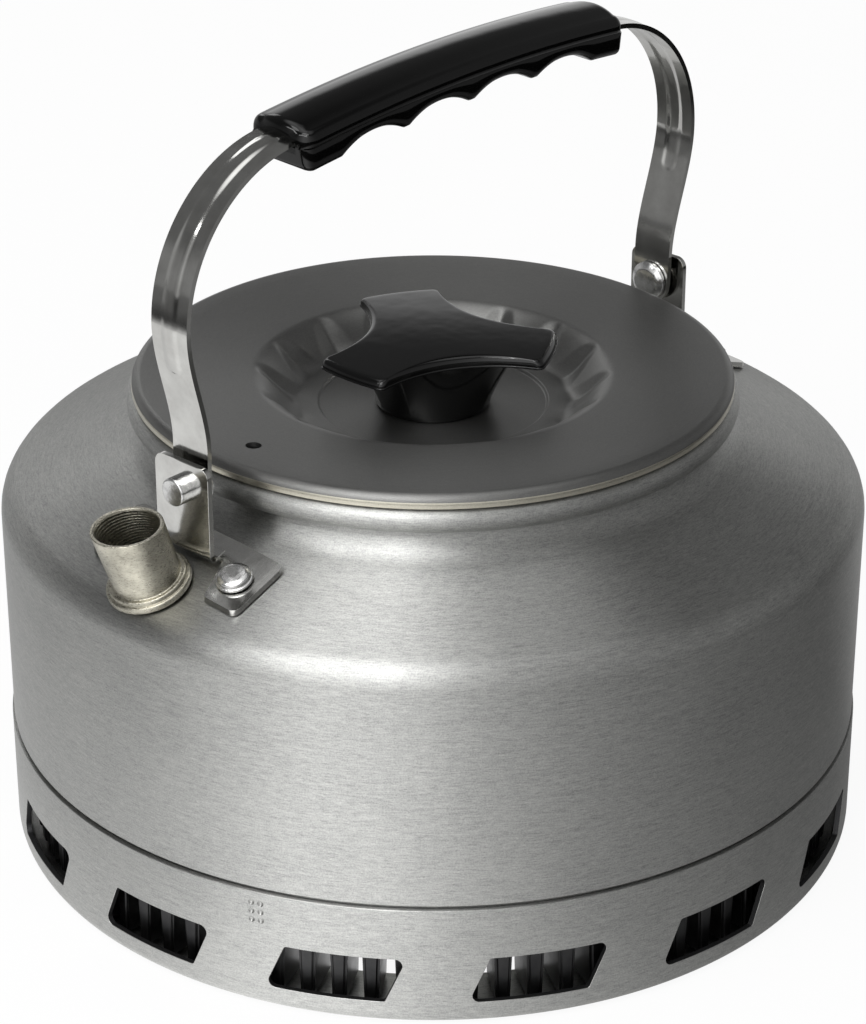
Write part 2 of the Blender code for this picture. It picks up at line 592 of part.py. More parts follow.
def build_pivots():
    """Each rivet runs outwards through the strip, the friction washer and the ear."""
    strap_in = STRAP_R - STRAP / 2.0
    head = strap_in - PIVOT_GAP
    washer_in = STRAP_R + STRAP / 2.0 + PIVOT_GAP
    end = EAR_R + PIVOT_GAP
    chamfer = 0.5 * MM
    rivet = [(0.0, head - PIVOT_HEAD_T), (0.62 * PIVOT_HEAD_R, head - PIVOT_HEAD_T),
             (PIVOT_HEAD_R, head - 0.45 * PIVOT_HEAD_T), (PIVOT_HEAD_R, head), (PIVOT_R, head), (PIVOT_R, end),
             (PIVOT_END_R, end), (PIVOT_END_R, end + PIVOT_END_T - chamfer),
             (PIVOT_END_R - chamfer, end + PIVOT_END_T), (0.0, end + PIVOT_END_T)]
    bore = PIVOT_R + HOLE_GAP
    washer = [(bore, washer_in), (PIVOT_WASHER_R, washer_in),
              (PIVOT_WASHER_R, washer_in + PIVOT_WASHER_T), (bore, washer_in + PIVOT_WASHER_T)]
    for side, where in ((-1, "spout_side"), (1, "rear")):
        made = piece(f"pivot_rivet_{where}", turned(rivet, RIVET_FACETS), "rivet")
        made.matrix_world = pivot_place(side)
        ring = piece(f"pivot_washer_{where}", turned(washer, RIVET_FACETS, closed=True), "stainless")
        ring.matrix_world = pivot_place(side)


BEND_CENTRE_X = STRAP_R + JOGGLE_OUT - BEND_R
BEND_SWEEP = math.pi / 2.0 - CROWN_SLOPE
CROWN_X = BEND_CENTRE_X + BEND_R * math.cos(BEND_SWEEP)
CROWN_LOW = JOGGLE_END + BEND_R * math.sin(BEND_SWEEP)
CROWN_R = CROWN_X / math.sin(CROWN_SLOPE)
CROWN_TOP = CROWN_LOW + CROWN_R * (1.0 - math.cos(CROWN_SLOPE))
GRIP_HALF = CROWN_X - GRIP_END_MARGIN
FINGER_COUNT = math.floor(2.0 * (GRIP_HALF - FINGER_END) / FINGER_PITCH)


def bail_half():
    """Centre line of one arm as (x, height above the hinge line), from its tail to the middle."""
    line = [(STRAP_R, -STRAP_TAIL), (STRAP_R, 0.0), (STRAP_R, JOGGLE_START)]
    steps = 7
    for i in range(1, steps + 1):
        t = i / steps
        blend = t * t * (3.0 - 2.0 * t)
        line.append((STRAP_R + JOGGLE_OUT * blend, JOGGLE_START + (JOGGLE_END - JOGGLE_START) * t))
    line += arc(BEND_CENTRE_X, JOGGLE_END, BEND_R, 0.0, BEND_SWEEP, 9)[1:]
    for i in range(1, 6):
        line.append(crown_point(CROWN_X * (1.0 - i / 5.0)))
    return line


def crown_point(x, above=0.0):
    """Point over x on the bail's crown, raised along the crown's normal."""
    turn = math.asin(x / CROWN_R)
    centre = CROWN_TOP - CROWN_R
    radius = CROWN_R + above
    return (radius * math.sin(turn), centre + radius * math.cos(turn))


def build_strap(pivot):
    half = bail_half()
    line = [(-x, z) for x, z in half] + [(x, z) for x, z in reversed(half[:-1])]
    near, far = RIB_WIDTH / 2.0, RIB_FLAT / 2.0
    edge = STRAP_WIDTH / 2.0
    across = [(-edge, 0.0), (-near, 0.0), (-far, 1.0), (far, 1.0), (near, 0.0), (edge, 0.0)]
    rings = []
    for i, (x, z) in enumerate(line):
        ahead = Vector(line[min(i + 1, len(line) - 1)])
        behind = Vector(line[max(i - 1, 0)])
        along = (ahead - behind).normalized()
        out = Vector((-along.y, along.x))
        on_crown = abs(x) <= CROWN_X
        rise = 1.0 if on_crown else min(1.0, max(0.0, (z - RIB_START) / RIB_RUNOUT))
        ring = []
        for level, order in ((STRAP / 2.0, across), (-STRAP / 2.0, list(reversed(across)))):
            for y, share in order:
                push = level + share * rise * RIB_H
                ring.append(Vector((x + out.x * push, y, z + out.y * push)))
        rings.append(ring)
    bm = bmesh.new()
    skin(bm, rings)
    strap = piece("bail_strap", bm, "stainless", pivot)
    holes = bmesh.new()
    for side in (-1, 1):
        turn = Matrix.Rotation(side * math.pi / 2.0, 4, "Y")
        add_cylinder(holes, PIVOT_R + HOLE_GAP, STRAP_R - 2.0 * STRAP, STRAP_R + 2.0 * STRAP, turn)
        add_cylinder(holes, PEG_R + HOLE_GAP, -4.0 * STRAP, 4.0 * STRAP, peg_place(side))
    cut(strap, holes, "strap_holes")


def peg_place(side):
    """Frame on the strip's centre line where a snap peg crosses it, +Z along the crown's normal."""
    x, z = crown_point(side * (GRIP_HALF - PEG_FROM_END))
    return Matrix.Translation((x, 0.0, z)) @ Matrix.Rotation(math.asin(x / CROWN_R), 4, "Y")


PARTING = STRAP / 2.0 + SEAT_GAP   # where the two halves of the grip meet, above the strip's centre


def grip_ring(x, section):
    """Points of a (y, height) section stood on the crown over x."""
    ring = []
    for y, above in section:
        px, pz = crown_point(x, above)
        ring.append(Vector((px, y, pz)))
    return ring


def build_grip_upper(pivot):
    """Cap with rounded edges, grooved below for the strip's rib, with two snap pegs."""
    low = PARTING + SEAT_GAP / 2.0
    groove = RIB_WIDTH / 2.0 + SEAT_GAP
    groove_top = STRAP / 2.0 + RIB_H + SEAT_GAP

    def section(width, top, round_r):
        left = arc(-width + round_r, top - round_r, round_r, math.pi, math.pi / 2.0, 3)
        right = arc(width - round_r, top - round_r, round_r, math.pi / 2.0, 0.0, 3)
        return [(-width, low)] + left + right + [(width, low), (groove, low), (groove, groove_top),
                                                 (-groove, groove_top), (-groove, low)]

    half = GRIP_WIDTH / 2.0
    soft = GRIP_EDGE_R
    cheek = half - 0.7 * soft
    stations = [(-GRIP_HALF, cheek, GRIP_TOP - 0.6 * soft),
                (-GRIP_HALF + 0.3 * soft, half - 0.3 * soft, GRIP_TOP - 0.25 * soft)]
    runs = 8
    for i in range(runs + 1):
        stations.append(((GRIP_HALF - soft) * (2.0 * i / runs - 1.0), half, GRIP_TOP))
    stations += [(-x, w, top) for x, w, top in reversed(stations[:2])]
    bm = bmesh.new()
    skin(bm, [grip_ring(x, section(w, top, min(soft, (top - low) * 0.8))) for x, w, top in stations])
    cap = piece("grip_upper", bm, "plastic", pivot)
    for side in (-1, 1):
        peg = bmesh.new()
        add_cylinder(peg, PEG_R, -PEG_REACH, (groove_top + GRIP_TOP) / 2.0, peg_place(side))
        join(cap, peg, f"snap_peg_{side}")


def finger_depth(x):
    """How deep the finger grooves cut into the underside at x."""
    reach = FINGER_COUNT * FINGER_PITCH / 2.0
    if abs(x) >= reach:
        return 0.0
    t = ((x + reach) / FINGER_PITCH) % 1.0
    return FINGER_DEPTH * (1.0 - (2.0 * t - 1.0) ** 2)


def build_grip_lower(pivot):
    """Finger-grooved half with a channel for the strip and sockets for the snap pegs."""
    high = PARTING - SEAT_GAP / 2.0
    channel = STRAP_WIDTH / 2.0 + SEAT_GAP
    channel_low = -STRAP / 2.0 - SEAT_GAP
    half = GRIP_WIDTH / 2.0 - GRIP_LOWER_INSET
    soft = GRIP_EDGE_R

    def section(x, width, under):
        low = -under + finger_depth(x)
        round_r = min(soft, (high - low) * 0.45)
        left = arc(-width + round_r, low + round_r, round_r, 1.5 * math.pi, math.pi, 2)
        right = arc(width - round_r, low + round_r, round_r, 2.0 * math.pi, 1.5 * math.pi, 2)
        return left + [(-width, high), (-channel, high), (-channel, channel_low),
                       (channel, channel_low), (channel, high), (width, high)] + right

    stations = [(-GRIP_HALF, half - 0.6 * soft, GRIP_UNDER - 0.9 * soft),
                (-GRIP_HALF + 0.5 * soft, half, GRIP_UNDER - 0.2 * soft)]
    reach = FINGER_COUNT * FINGER_PITCH / 2.0
    per_finger = 6
    count = FINGER_COUNT * per_finger
    for i in range(count + 1):
        stations.append((-reach + 2.0 * reach * i / count, half, GRIP_UNDER))
    stations += [(-x, w, under) for x, w, under in reversed(stations[:2])]
    bm = bmesh.new()
    skin(bm, [grip_ring(x, section(x, w, under)) for x, w, under in stations])
    lower = piece("grip_lower", bm, "plastic", pivot)
    sockets = bmesh.new()
    for side in (-1, 1):
        add_cylinder(sockets, PEG_R + HOLE_GAP, -PEG_REACH - HOLE_GAP, 2.0 * STRAP, peg_place(side))
    cut(lower, sockets, "peg_sockets")


def lid_outline():
    """Section of the lid's sheet, its top surface first, from the screw hole out and back."""
    hole = SCREW_R + HOLE_GAP
    top = math.pi / 2.0
    rim_in = LID_R - LID_RIM_R
    rim_z = LID_TOP_Z - LID_RIM_R
    rim_low = LID_TOP_Z - LID_RIM_H
    ring_z = DISH_FLOOR_Z + FLOOR_RING_RISE
    ledge = LID_TOP_Z - LID_FALL
    soft = 1.6 * MM
    surface = [(hole, DISH_FLOOR_Z), (FLOOR_RING_R, DISH_FLOOR_Z), (FLOOR_RING_R + 0.8 * MM, ring_z),
               (DISH_FOOT_R, ring_z), (DISH_R - soft, ledge - 0.8 * soft), (DISH_R, ledge - 0.15 * soft),
               (DISH_R + soft, ledge)]
    outer = arc(rim_in, rim_z, LID_RIM_R, top, 0.0, 3) + [(LID_R, rim_low), (LID_R - SHEET, rim_low)]
    inner = arc(rim_in, rim_z, LID_RIM_R - SHEET, 0.0, top, 2)
    back = [(r, z - SHEET) for r, z in reversed(surface)]
    return surface + outer + inner + back


def pleat(r, angle):
    """How far the dish's wall is pressed down at a place: wedges that point outwards."""
    middle = (DISH_R + DISH_FOOT_R) / 2.0
    reach = (DISH_R - DISH_FOOT_R) / 2.0
    if abs(r - middle) > reach:
        return 0.0
    saw = abs((angle * PLEAT_COUNT / (2.0 * math.pi)) % 1.0 - 0.5) * 2.0
    return PLEAT_DEPTH * saw


def build_lid(seat):
    bm = turned(lid_outline(), LID_FACETS, closed=True)
    for v in bm.verts:
        r = math.hypot(v.co.x, v.co.y)
        v.co.z -= pleat(r, math.atan2(v.co.y, v.co.x))
    bmesh.ops.translate(bm, verts=bm.verts, vec=(0.0, 0.0, -BEAD_TOP_Z))
    lid = piece("lid", bm, "lid_grey", seat)
    hole = bmesh.new()
    place = Matrix.Translation((-STEAM_HOLE_AT, 0.0, LID_TOP_Z - BEAD_TOP_Z))
    add_cylinder(hole, STEAM_HOLE_R, -4.0 * SHEET, 2.0 * SHEET, place)
    cut(lid, hole, "steam_hole")


def build_collar(seat):
    """L-section ring held under the lid, with a wall that drops into the neck."""
    outer = NECK_IN_R - COLLAR_CLEARANCE
    low = -COLLAR_DROP
    bottom = SEAT_GAP
    edge = LID_R - SHEET - SEAT_GAP
    top = bottom + LID_RIM_H - SHEET - SEAT_GAP - LID_RIM_R * 0.05
    outline = [(outer - SHEET, low), (outer, low), (outer, bottom), (edge, bottom),
               (edge, top - 0.4 * SHEET), (edge - 0.4 * SHEET, top), (outer - SHEET, top)]
    piece("lid_collar", turned(outline, LID_FACETS, closed=True), "lid_grey", seat)


def knob_outline():
    """Plan of the knob's plate: three blunt arms joined by concave edges."""
    tip = Vector((KNOB_TIP_AT, KNOB_TIP_HALF))
    corner_r = tip.length
    corner_turn = math.atan2(tip.y, tip.x)
    span = math.pi / 3.0 - corner_turn
    half_chord = corner_r * math.sin(span)
    sag = corner_r * math.cos(span) - KNOB_HOLLOW_R
    hollow = (half_chord ** 2 + sag ** 2) / (2.0 * sag)
    centre = KNOB_HOLLOW_R + hollow
    sweep = math.asin(half_chord / hollow)
    outline = []
    for arm in range(3):
        direction = math.pi + arm * 2.0 * math.pi / 3.0
        turn = Matrix.Rotation(direction, 2)
        for i in range(5):
            t = i / 4.0 * 2.0 - 1.0
            bulge = KNOB_TIP_BULGE * (1.0 - t * t)
            outline.append(turn @ Vector((KNOB_TIP_AT + bulge, KNOB_TIP_HALF * t)))
        middle = Matrix.Rotation(direction + math.pi / 3.0, 2)
        for i in range(1, 6):
            a = sweep * (1.0 - i / 3.0)
            outline.append(middle @ Vector((centre - hollow * math.cos(a), -hollow * math.sin(a))))
    return outline


def build_knob(seat):
    floor = DISH_FLOOR_Z + SEAT_GAP - BEAD_TOP_Z
    top = floor + KNOB_HEIGHT
    under = top - KNOB_PLATE
    stem = KNOB_HEIGHT - KNOB_PLATE
    plan = knob_outline()
    edge = KNOB_EDGE_R

    def ring(z, round_r, share, inset):
        """A ring between a circle of radius round_r and the plan, drawn in by inset."""
        points = []
        for p in plan:
            circle = p.normalized() * round_r
            drawn = p - p.normalized() * inset
            spot = circle.lerp(drawn, share)
            points.append(Vector((spot.x, spot.y, z)))
        return points

    rings = [
        ring(floor, KNOB_BASE_R, 0.0, 0.0),
        ring(floor + 0.12 * stem, KNOB_BASE_R, 0.0, 0.0),
        ring(floor + 0.45 * stem, KNOB_WAIST_R, 0.06, 0.0),
        ring(floor + 0.75 * stem, KNOB_WAIST_R, 0.3, 2.0 * edge),
        ring(under, KNOB_WAIST_R, 0.75, 2.0 * edge),
        ring(under, KNOB_WAIST_R, 1.0, edge),
        ring(under + edge, KNOB_WAIST_R, 1.0, 0.0),
        ring(top - edge, KNOB_WAIST_R, 1.0, 0.0),
        ring(top, KNOB_WAIST_R, 1.0, edge),
    ]
    bm = bmesh.new()
    skin(bm, rings)
    knob = piece("knob", bm, "plastic", seat)
    bore = bmesh.new()
    add_cylinder(bore, SCREW_R + HOLE_GAP, floor - 1.0 * MM, floor + SCREW_DEPTH + 1.0 * MM)
    cut(knob, bore, "knob_bore")


def build_knob_fixing(seat):
    under = DISH_FLOOR_Z - SHEET - SEAT_GAP - BEAD_TOP_Z
    head = under - KNOB_WASHER_T - SEAT_GAP
    tip = DISH_FLOOR_Z - BEAD_TOP_Z + SCREW_DEPTH
    slot = 0.35 * SCREW_HEAD_T
    screw = [(0.0, head - SCREW_HEAD_T), (0.7 * SCREW_HEAD_R, head - SCREW_HEAD_T),
             (SCREW_HEAD_R, head - slot), (SCREW_HEAD_R, head), (SCREW_R, head),
             (SCREW_R, tip - 0.5 * SCREW_R), (0.5 * SCREW_R, tip), (0.0, tip)]
    piece("knob_screw", turned(screw, RIVET_FACETS), "rivet", seat)
    bore = SCREW_R + HOLE_GAP
    washer = [(bore, under - KNOB_WASHER_T), (KNOB_WASHER_R, under - KNOB_WASHER_T),
              (KNOB_WASHER_R, under), (bore, under)]
    piece("knob_washer", turned(washer, RIVET_FACETS, closed=True), "rivet", seat)


def main():
    clear_scene()
    build_vessel()
    build_skirt()
    build_fins()
    build_spout()
    build_bracket("spout_side_bracket", -1)
    build_bracket("rear_bracket", 1)
    build_foot_rivets()
    build_pivots()
    pivot = empty("bail_pivot", (0.0, BAIL_OFF_LINE, PIVOT_Z), (BAIL_LEAN, 0.0, 0.0))
    build_strap(pivot)
    build_grip_upper(pivot)
    build_grip_lower(pivot)
    seat = empty("lid_seat", (0.0, 0.0, BEAD_TOP_Z))
    build_lid(seat)
    build_collar(seat)
    build_knob(seat)
    build_knob_fixing(seat)


main()
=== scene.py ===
"""Looks of the camp kettle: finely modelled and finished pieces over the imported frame.

Metres, +Z up, in the frame's own axes. The spout points to -X and the bail's hinge line
runs along X. Each section makes one group of pieces and the finish that it wears.
"""

from math import acos, asin, atan2, ceil, cos, dist, hypot, pi, radians, sin, sqrt, tan

import bmesh
import bpy
from mathutils import Matrix, Vector


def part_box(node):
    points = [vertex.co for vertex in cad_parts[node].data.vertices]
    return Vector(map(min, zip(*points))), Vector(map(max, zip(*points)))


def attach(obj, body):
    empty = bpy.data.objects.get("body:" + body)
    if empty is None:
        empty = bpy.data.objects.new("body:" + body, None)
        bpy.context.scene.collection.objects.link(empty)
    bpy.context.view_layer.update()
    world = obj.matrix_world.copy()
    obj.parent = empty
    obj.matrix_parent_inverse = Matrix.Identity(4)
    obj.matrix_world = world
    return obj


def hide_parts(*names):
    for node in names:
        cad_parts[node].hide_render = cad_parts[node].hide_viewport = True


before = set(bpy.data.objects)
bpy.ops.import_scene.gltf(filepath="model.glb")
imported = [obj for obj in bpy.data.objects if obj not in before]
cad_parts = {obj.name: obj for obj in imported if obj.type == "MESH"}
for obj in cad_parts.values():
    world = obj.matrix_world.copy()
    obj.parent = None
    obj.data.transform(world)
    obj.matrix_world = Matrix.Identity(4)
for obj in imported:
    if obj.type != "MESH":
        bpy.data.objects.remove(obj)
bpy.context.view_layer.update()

# Vessel
# One drawn aluminium pressing with a floor, a straight wall, a sloping top, a neck and a
# rolled bead at the mouth. It is hard-anodised a satin grey and brushed around its axis.
# The helpers that every piece uses are made here first.

MM = 0.001
DEG = radians(1.0)
SHEET = 1.2 * MM
FLOOR_SHEET = 1.5 * MM
BASE_CORNER_R = 4.0 * MM
SHOULDER_Z = 77.0 * MM
SHOULDER_R = 7.0 * MM
CONE_SLOPE = 20.5 * DEG
NECK_IN_R = 61.6 * MM
NECK_FILLET_R = 8.0 * MM
BEAD_R = 2.6 * MM
SEAT_GAP = 0.3 * MM          # between pieces that rest on each other
HOLE_GAP = 0.3 * MM          # around whatever goes through a hole
SKIRT_PROUD = 0.4 * MM       # the skirt's wall stands this far outside the vessel's
SEAM_WIDTH = 0.8 * MM
EDGE_SOFT = 0.25 * MM        # small round on cut and turned edges
VESSEL_SEGMENTS = 200
FINE_STREAKS = (42.0, 0.2 * MM)    # brush marks to a radian around the axis, and their width
BROAD_STREAKS = (14.0, 0.75 * MM)
BLOTCH_SIZE = 22.0 * MM
GRAIN_SIZE = 0.32 * MM
GRAIN_DEPTH = 0.03 * MM

vessel_low, vessel_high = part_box("vessel")
BODY_R = vessel_high.x
BASE_Z = vessel_low.z
BEAD_TOP_Z = vessel_high.z
BEAD_CENTRE_Z = BEAD_TOP_Z - BEAD_R
BEAD_CENTRE_R = NECK_IN_R + BEAD_R
SPIGOT_R = BODY_R + SKIRT_PROUD - SHEET - SEAT_GAP
SKIRT_TOP_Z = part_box("heat_exchanger_skirt")[1].z
CONE_START_R = BODY_R - SHOULDER_R * (1.0 - sin(CONE_SLOPE))
CONE_START_Z = SHOULDER_Z + SHOULDER_R * cos(CONE_SLOPE)


def linear(hex_colour):
    """An sRGB colour such as 8C8E90 as linear RGBA."""
    channels = [int(hex_colour[i:i + 2], 16) / 255.0 for i in (0, 2, 4)]
    return tuple(c / 12.92 if c <= 0.04045 else ((c + 0.055) / 1.055) ** 2.4 for c in channels) + (1.0,)


def feed(owner, node, inputs):
    """Give a node's inputs their values: numbers, vectors or the sockets of other nodes."""
    for key, value in inputs.items():
        if isinstance(value, bpy.types.NodeSocket):
            owner.node_tree.links.new(value, node.inputs[key])
        else:
            node.inputs[key].default_value = value


def shade(mat, inputs):
    """Feed the material's own Principled shader."""
    feed(mat, mat.node_tree.nodes["Principled BSDF"], inputs)


def finish(name, colour, metallic, roughness):
    """A Principled material; the textures are added to it afterwards."""
    mat = bpy.data.materials.new(name)
    mat.use_nodes = True
    shade(mat, {"Base Color": linear(colour), "Metallic": metallic, "Roughness": roughness})
    return mat


def add_node(owner, kind, inputs, **settings):
    """Add a node with its settings and its inputs to a material or to the world."""
    made = owner.node_tree.nodes.new(kind)
    for key, value in settings.items():
        setattr(made, key, value)
    feed(owner, made, inputs)
    return made


def vector_maths(owner, operation, *values, output="Vector", **named):
    inputs = {**dict(enumerate(values)), **named}
    return add_node(owner, "ShaderNodeVectorMath", inputs, operation=operation).outputs[output]


def times(owner, value, factor):
    return add_node(owner, "ShaderNodeMath", {0: value, 1: factor}, operation="MULTIPLY").outputs[0]


def mixed(mat, first, second, share):
    """Two values mixed, with this share of the second."""
    return add_node(mat, "ShaderNodeMix", {"Factor": share, "A": first, "B": second}).outputs[0]


def spread(mat, value, low, high):
    """Map a 0 to 1 value onto low to high."""
    inputs = {"Value": value, "To Min": low, "To Max": high}
    return add_node(mat, "ShaderNodeMapRange", inputs).outputs[0]


def tint(mat, value, dark, light):
    """Colour between two sRGB colours by a 0 to 1 value."""
    inputs = {"Factor": value, "A": linear(dark), "B": linear(light)}
    return add_node(mat, "ShaderNodeMix", inputs, data_type="RGBA").outputs["Result"]


def object_point(mat):
    return add_node(mat, "ShaderNodeTexCoord", {}).outputs["Object"]


def noise(mat, point, size, detail=3.0, rough=0.55):
    """Noise with features of about the given size in metres."""
    inputs = {"Vector": point, "Scale": 1.0 / size, "Detail": detail, "Roughness": rough}
    return add_node(mat, "ShaderNodeTexNoise", inputs).outputs["Fac"]


def brushed_noise(mat, length_turns, width, detail=2.0):
    """Noise drawn out around Z: length_turns streaks to a radian, each about width across."""
    parts = add_node(mat, "ShaderNodeSeparateXYZ", {"Vector": object_point(mat)}).outputs
    flat = add_node(mat, "ShaderNodeCombineXYZ", {"X": parts["X"], "Y": parts["Y"]}).outputs[0]
    round_it = vector_maths(mat, "SCALE", vector_maths(mat, "NORMALIZE", flat), Scale=length_turns)
    up = add_node(mat, "ShaderNodeCombineXYZ", {"Z": times(mat, parts["Z"], 1.0 / width)}).outputs[0]
    out = times(mat, vector_maths(mat, "LENGTH", flat, output="Value"), 1.0 / width)
    inputs = {"Vector": vector_maths(mat, "ADD", round_it, up), "W": out, "Scale": 1.0,
              "Detail": detail, "Roughness": 0.6}
    return add_node(mat, "ShaderNodeTexNoise", inputs, noise_dimensions="4D").outputs["Fac"]


def bump(mat, height, distance, strength=1.0, normal=None):
    inputs = {"Height": height, "Distance": distance, "Strength": strength}
    if normal is not None:
        inputs["Normal"] = normal
    return add_node(mat, "ShaderNodeBump", inputs).outputs[0]


def brushed_metal(name, dark, light, roughness, stretch, brush_depth):
    """Satin metal brushed around Z: short fine streaks, fainter long ones, blotches and a grain."""
    mat = finish(name, light, 1.0, roughness)
    fine = brushed_noise(mat, *FINE_STREAKS, 3.0)
    streaks = mixed(mat, fine, brushed_noise(mat, *BROAD_STREAKS), 0.25)
    blotch = noise(mat, object_point(mat), BLOTCH_SIZE)
    grain = noise(mat, object_point(mat), GRAIN_SIZE, 2.0)
    toned = mixed(mat, mixed(mat, streaks, grain, 0.35), blotch, 0.08)
    etched = bump(mat, grain, GRAIN_DEPTH, 0.35)
    tangent = add_node(mat, "ShaderNodeTangent", {}, direction_type="RADIAL", axis="Z")
    shade(mat, {
        "Base Color": tint(mat, spread(mat, toned, -1.0, 2.0), dark, light),
        "Roughness": spread(mat, streaks, roughness - 0.09, roughness + 0.09),
        "Normal": bump(mat, streaks, brush_depth, 0.8, etched),
        "Anisotropic": stretch, "Anisotropic Rotation": 0.25, "Tangent": tangent.outputs[0]})
    return mat


def spaced(first, last, steps):
    """Evenly spaced numbers from first to last, both included."""
    return [first + (last - first) * i / steps for i in range(steps + 1)]


def arc(centre_x, centre_y, radius, start, end, steps):
    return [(centre_x + radius * cos(t), centre_y + radius * sin(t)) for t in spaced(start, end, steps)]


def rounded(corners, closed=False, step=11.0 * DEG):
    """Points along (x, y, radius) corners, with an arc at each corner that has a radius."""
    points = []
    count = len(corners)
    for i, (x, y, radius) in enumerate(corners):
        if radius == 0.0 or (not closed and i in (0, count - 1)):
            points.append((x, y))
            continue
        here = Vector((x, y))
        back = (Vector(corners[i - 1][:2]) - here).normalized()
        ahead = (Vector(corners[(i + 1) % count][:2]) - here).normalized()
        half = back.angle(ahead) / 2.0
        centre = here + (back + ahead).normalized() * (radius / sin(half))
        first = here + back * (radius / tan(half)) - centre
        last = here + ahead * (radius / tan(half)) - centre
        start = atan2(first.y, first.x)
        sweep = (atan2(last.y, last.x) - start + pi) % (2.0 * pi) - pi
        steps = max(2, ceil(abs(sweep) / step))
        points += arc(centre.x, centre.y, radius, start, start + sweep, steps)
    return points


def turned(outline, segments):
    """Closed (r, z) outline spun about Z, as a bmesh."""
    bm = bmesh.new()
    verts = [bm.verts.new((r, 0.0, z)) for r, z in outline]
    for near, far in zip(verts, verts[1:] + verts[:1]):
        if near.co.x + far.co.x > 0.0:
            bm.edges.new((near, far))
    bmesh.ops.spin(bm, geom=verts + list(bm.edges), axis=(0.0, 0.0, 1.0), angle=2.0 * pi,
                   steps=segments, use_merge=True)
    bmesh.ops.remove_doubles(bm, verts=bm.verts, dist=1e-7)
    return bm


def skinned(rings, bm=None):
    """One closed skin: the first ring is filled, then extruded from ring to ring and capped."""
    if bm is None:
        bm = bmesh.new()
    verts = [bm.verts.new(p) for p in rings[0]]
    bm.faces.new(verts)
    for ring in rings[1:]:
        loop = [bm.edges.get(pair) for pair in zip(verts, verts[1:] + verts[:1])]
        fresh = set(bmesh.ops.extrude_edge_only(bm, edges=loop)["geom"])
        verts = [next(e.other_vert(v) for e in v.link_edges if e.other_vert(v) in fresh) for v in verts]
        for v, p in zip(verts, ring):
            v.co = p
    bm.faces.new(verts)
    return bm


def meshed(name, bm):
    """A new object in the scene from a bmesh, which is used up."""
    mesh = bpy.data.meshes.new(name)
    bm.to_mesh(mesh)
    bm.free()
    made = bpy.data.objects.new(name, mesh)
    bpy.context.scene.collection.objects.link(made)
    return made


def add_piece(name, bm, body, mat, replaced=(), place=Matrix(), sharp=32.0 * DEG):
    """Turn a bmesh into a piece that rides on a body, with its place in its mesh."""
    bmesh.ops.recalc_face_normals(bm, faces=bm.faces)
    bmesh.ops.transform(bm, matrix=place, verts=bm.verts)
    piece = meshed(name, bm)
    piece.data.shade_smooth()
    piece.data.set_sharp_from_angle(angle=sharp)
    piece.data.materials.append(mat)
    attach(piece, body)
    if replaced:
        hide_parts(*replaced)
    return piece


def carve(piece, cutter, sharp=32.0 * DEG):
    """Cut a bmesh out of a piece for good."""
    bmesh.ops.recalc_face_normals(cutter, faces=cutter.faces)
    tool = meshed(piece.name + "_cutter", cutter)
    step = piece.modifiers.new("carve", "BOOLEAN")
    step.operation = "DIFFERENCE"
    step.object = tool
    bpy.context.view_layer.update()
    cut = piece.evaluated_get(bpy.context.evaluated_depsgraph_get())
    carved = bpy.data.meshes.new_from_object(cut)
    piece.modifiers.remove(step)
    piece.data = carved
    carved.set_sharp_from_angle(angle=sharp)
    bpy.data.objects.remove(tool)


def add_cylinder(bm, radius, low, high, place=Matrix(), segments=48):
    middle = Matrix.Translation((0.0, 0.0, (low + high) / 2.0))
    bmesh.ops.create_cone(
        bm, cap_ends=True, segments=segments, radius1=radius, radius2=radius,
        depth=high - low, matrix=place @ middle)


def drill(piece, holes, segments=48, sharp=32.0 * DEG):
    """Cut round holes out of a piece, each a (radius, low, high, place)."""
    cutter = bmesh.new()
    for radius, low, high, place in holes:
        add_cylinder(cutter, radius, low, high, place, segments)
    carve(piece, cutter, sharp)


def cone_z(r):
    """Height of the vessel's sloping top, outside, at radius r."""
    return CONE_START_Z + (CONE_START_R - r) * tan(CONE_SLOPE)


def on_cone_place(x, y):
    """Frame on the sloping top above (x, y), with +Z along the outward normal."""
    turn = Matrix.Rotation(atan2(y, x), 4, "Z") @ Matrix.Rotation(CONE_SLOPE, 4, "Y")
    return Matrix.Translation((x, y, cone_z(hypot(x, y)))) @ turn


# A dull silver grey whose soft sheen is drawn out around the axis in fine brush marks
BODY_METAL = brushed_metal("hard_anodised_body", "848584", "C3C3C0", 0.4, 0.9, 0.008 * MM)
SPOUT_AT = 85.2 * MM
SPOUT_BORE_R = 6.2 * MM
SPOUT_SPIGOT_WALL = 0.7 * MM
SPOUT_SPIGOT_R = SPOUT_BORE_R + SPOUT_SPIGOT_WALL
SPOUT_PLACE = on_cone_place(-SPOUT_AT, 0.0)
BAIL_OFF_LINE = -1.6 * MM    # the hinge line runs this far beside the axis
EAR_R = 76.5 * MM
FOOT_RIVET_OUT = 0.4 * MM
FOOT_RIVET_SIDE = 15.0 * MM
FOOT_RIVET_R = 2.0 * MM


def foot_rivet_places(sides=(-1, 1)):
    """Frames on the sloping top where the rivets of the brackets on these sides go through it."""
    return [on_cone_place(side * (EAR_R + FOOT_RIVET_OUT), BAIL_OFF_LINE + way * FOOT_RIVET_SIDE)
            for side in sides for way in (-1, 1)]


